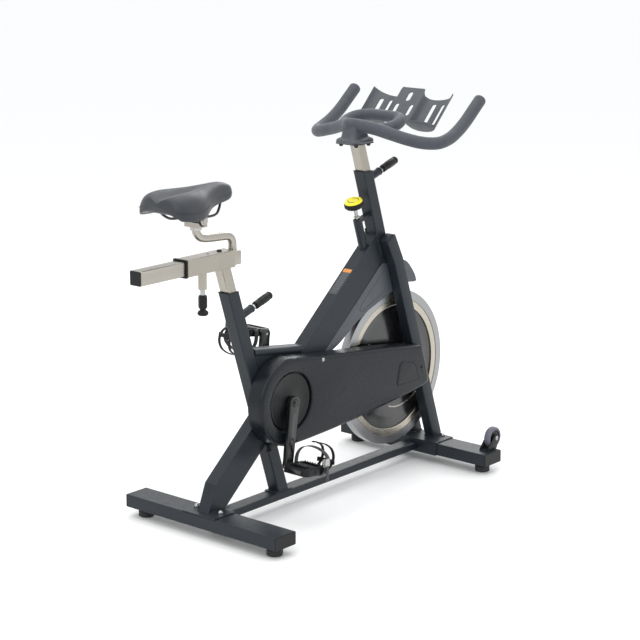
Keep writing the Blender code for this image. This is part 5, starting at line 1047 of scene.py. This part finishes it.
gus = dense([(0.2850, 0.6360), (0.2960, 0.6950), (0.3260, 0.6950), (0.3420, 0.6600), (0.3400, 0.6320)], 0.006, 4)
for s, lr in ((1, "left"), (-1, "right")):
    puff(f"neck_gusset_{lr}", gus, soft(0.0020, 0.0005, -s), side(s * 0.0170), POWDER, "frame")

# ============================================================ fasteners
for i, (x, y) in enumerate(((-0.4299, -0.0440), (-0.4299, 0.0440))):
    nut(f"rear_dome_nut_{i}", W(x, y, 0.0672), Z, 0.0072, 0.0120, CHROME, "frame")
for i, (x, y) in enumerate(((0.5320, -0.0700), (0.5320, 0.0700))):
    nut(f"front_bracket_nut_{i}", W(x, y, 0.0672), Z, 0.0062, 0.0085, CHROME, "frame")
for tag, sx in (("rear", -0.4299), ("front", 0.5042)):
    for lr, s in (("left", 1), ("right", -1)):
        c = W(sx, s * 0.2392, 0)
        lathe(f"{tag}_foot_pad_{lr}", [(0, 0.0), (0.0190, 0.0), (0.0208, 0.0006), (0.0220, 0.0022), (0.0220, 0.0075), (0.0210, 0.0088), (0.0210, 0.0100), (0.0220, 0.0112), (0.0220, 0.0150),
                                       (0.0208, 0.0168), (0.0170, 0.0180), (0.0130, 0.0186), (0.0130, 0.0270), (0, 0.0270)],
              facing(c, Z), RUBBER, f"{tag}_foot_{lr}", n=48, repl=(f"{tag}_foot_{lr}",), slot="rubber")

# transport wheels
for lr, s in (("left", 1), ("right", -1)):
    c = W(0.5410, s * 0.2480, 0.0975)
    m = facing(c, Y * s)
    bd = f"transport_wheel_{lr}"
    lathe(f"wheel_tyre_{lr}", [(0.0235, -0.0100), (0.0270, -0.0102), (0.0300, -0.0090), (0.0317, -0.0060), (0.0320, 0.0), (0.0317, 0.0060), (0.0300, 0.0090), (0.0270, 0.0102), (0.0235, 0.0100)],
          m, TYRE, bd, n=64, repl=(bd,), slot="wheel_grey")
    lathe(f"wheel_hub_{lr}", [(0.0052, -0.0104), (0.0105, -0.0104), (0.0110, -0.0080), (0.0200, -0.0070), (0.0225, -0.0090), (0.0238, -0.0090), (0.0238, 0.0090), (0.0225, 0.0090), (0.0200, 0.0070),
                              (0.0110, 0.0080), (0.0105, 0.0104), (0.0052, 0.0104)], m, BLACK, bd, n=48)
    for t in (1, -1):
        bolt(f"wheel_bolt_{lr}_{t}", c + Y * s * t * 0.0160, Y * s * t, 0.0055, 0.0030, CHROME, "frame")
    cheek = dense([(0.4940, 0.0645), (0.5420, 0.0645), (0.5530, 0.0950), (0.5480, 0.1080), (0.5340, 0.1090), (0.5080, 0.0800)], 0.007, 4)
    for t in (1, -1):
        yy = s * 0.2480 + t * 0.0142
        puff(f"wheel_cheek_{lr}_{'o' if t == s else 'i'}", cheek, soft(0.0016, 0.0005, -t), side(yy - t * 0.0002), BLACK, "frame")

# ============================================================ label and welds
lm = basis(W(0.1270, 0, beam_z(0.1270, HD)), BEAM, Y)
puff("beam_label", dense([(-0.0480, -0.0145), (0.0330, -0.0145), (0.0330, 0.0145), (-0.0480, 0.0145)], 0.002, 3), [(0, -0.0002), (0, 0.0003)], lm, LABEL, "frame")
puff("beam_label_band", dense([(0.0330, -0.0145), (0.0450, -0.0145), (0.0450, 0.0145), (0.0330, 0.0145)], 0.002, 3), [(0, -0.0002), (0, 0.00035)], lm, ORANGE, "frame")
for i in range(9):
    x0 = 0.0270 - i * 0.0080
    w_ = (0.0115, 0.0100, 0.0120, 0.0085, 0.0118, 0.0105, 0.0090, 0.0120, 0.0070)[i]
    puff(f"beam_label_bar_{i}", [(x0, -w_), (x0 + 0.0022, -w_), (x0 + 0.0022, w_), (x0, w_)], [(0, 0.0002), (0, 0.00045)], lm, INK, "frame")


def weld_line(name, pts, r=0.0022, closed=True):
    """Rippled weld bead along a joint."""
    pts = [Vector(p) for p in pts]
    if closed:
        pts.append(pts[0])
    out = []
    for a, b in zip(pts[:-1], pts[1:]):
        n = max(2, int((b - a).length / 0.0020))
        out += [a + (b - a) * k / n for k in range(n)]
    out.append(pts[-1])
    cu = rod(name, out, r, POWDER, "frame", res=2, make=False)
    for v in cu.verts:
        ph = v.co.x * 1900 + v.co.y * 1900 + v.co.z * 1900
        v.co += v.normal * 0.00035 * math.sin(ph)
    return put(name, mesh_from(cu, name), POWDER, "frame", sharp=70)


def ring_on(c, d, hx, hy, along):
    """Rectangle of a tube's section where it meets another: c centre, d the in-plane direction."""
    return [c + d * hx * a + Y * hy * b for a, b in ((1, 1), (-1, 1), (-1, -1), (1, -1))]


hb = W(0.2254 + (0.9150 - 0.735) * 0.3255, 0, 0.735)
e0 = hb - OUT * 0.0204
w0, w1 = e0 + AX * 0.0130, e0 - AX * 0.0620
weld_line("weld_head_right", [w0 - Y * 0.0200, w1 - Y * 0.0200], 0.0018, False)
weld_line("weld_head_left", [w0 + Y * 0.0200, w1 + Y * 0.0200], 0.0018, False)
for s in (1, -1):
    a_, b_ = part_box("lower_strut")
    weld_line(f"weld_strut_{s}", [Vector((a_[0] + 0.030 + 0.04, s * 0.0205, 0.0580)), Vector((b_[0] - 0.016, s * 0.0205, 0.0580))], 0.0016, False)
    fx0, fx1 = 0.5270 - 0.0230, 0.5270 + 0.0215
    yl = s * 0.0380
    weld_line(f"weld_leg_{s}", [W(fx0, yl - 0.0160, 0.0682), W(fx1, yl - 0.0160, 0.0682), W(fx1, yl + 0.0160, 0.0682), W(fx0, yl + 0.0160, 0.0682)], 0.0018)
weld_line("weld_beam_foot", [W(-0.4505, -0.0202, 0.0678), W(-0.3690, -0.0202, 0.0678)], 0.0018, False)
weld_line("weld_beam_foot_l", [W(-0.4505, 0.0202, 0.0678), W(-0.3690, 0.0202, 0.0678)], 0.0018, False)

# ============================================================ stage
fl_ = bpy.data.meshes.new("floor")
fl_.from_pydata([(-60, -60, 0), (60, -60, 0), (60, 60, 0), (-60, 60, 0)], [], [(0, 1, 2, 3)])
floor = bpy.data.objects.new("floor", fl_)
SC.objects.link(floor)
floor.location.z = -0.0004
fl_.materials.append(surface("floor_paper", (0.95, 0.95, 0.95), 0.9, var=0.004, rvar=0.02, grain=40, bump=0.02, depth=0.0002, patch=0.7, spec=0.1))
w = bpy.data.worlds.new("studio")
bpy.context.scene.world = w
w.use_nodes = True
w.node_tree.nodes["Background"].inputs[0].default_value = (0.98, 0.99, 1.0, 1)
w.node_tree.nodes["Background"].inputs[1].default_value = 1.04
bpy.context.scene.view_settings.view_transform = "Standard"


def lamp(name, loc, target, size, power, size_y=None, col=(1, 1, 1)):
    d = bpy.data.lights.new(name, "AREA")
    d.shape = "RECTANGLE"
    d.size, d.size_y = size, size_y or size
    d.energy = power
    d.color = col
    o = bpy.data.objects.new(name, d)
    SC.objects.link(o)
    o.matrix_world = facing(loc, Vector(loc) - Vector(target))


lamp("top_soft", (-0.2, 0.0, 3.4), (0, 0, 0.4), 3.2, 42, 3.2)
lamp("key_left", (-3.2, -0.6, 2.6), (0, 0, 0.6), 2.0, 24, 2.4, (1.0, 0.985, 0.96))
lamp("fill_right", (1.6, -3.6, 1.8), (0, 0, 0.5), 2.2, 12, 2.2)
lamp("rim_front", (3.0, 1.4, 2.2), (0, 0, 0.7), 1.8, 30, 2.0)

cd = bpy.data.cameras.new("camera")
cam = bpy.data.objects.new("camera", cd)
SC.objects.link(cam)
cd.lens = 106.89
cd.sensor_width = 36
cd.clip_end = 200
back = Vector((-0.7409, -0.6293, 0.2345)).normalized()
right = Z.cross(back).normalized()
cm = Matrix((right, back.cross(right), back)).transposed().to_4x4()
cm.translation = W(-3.9482, -3.3836, 1.7732)
cam.matrix_world = cm
bpy.context.scene.camera = cam
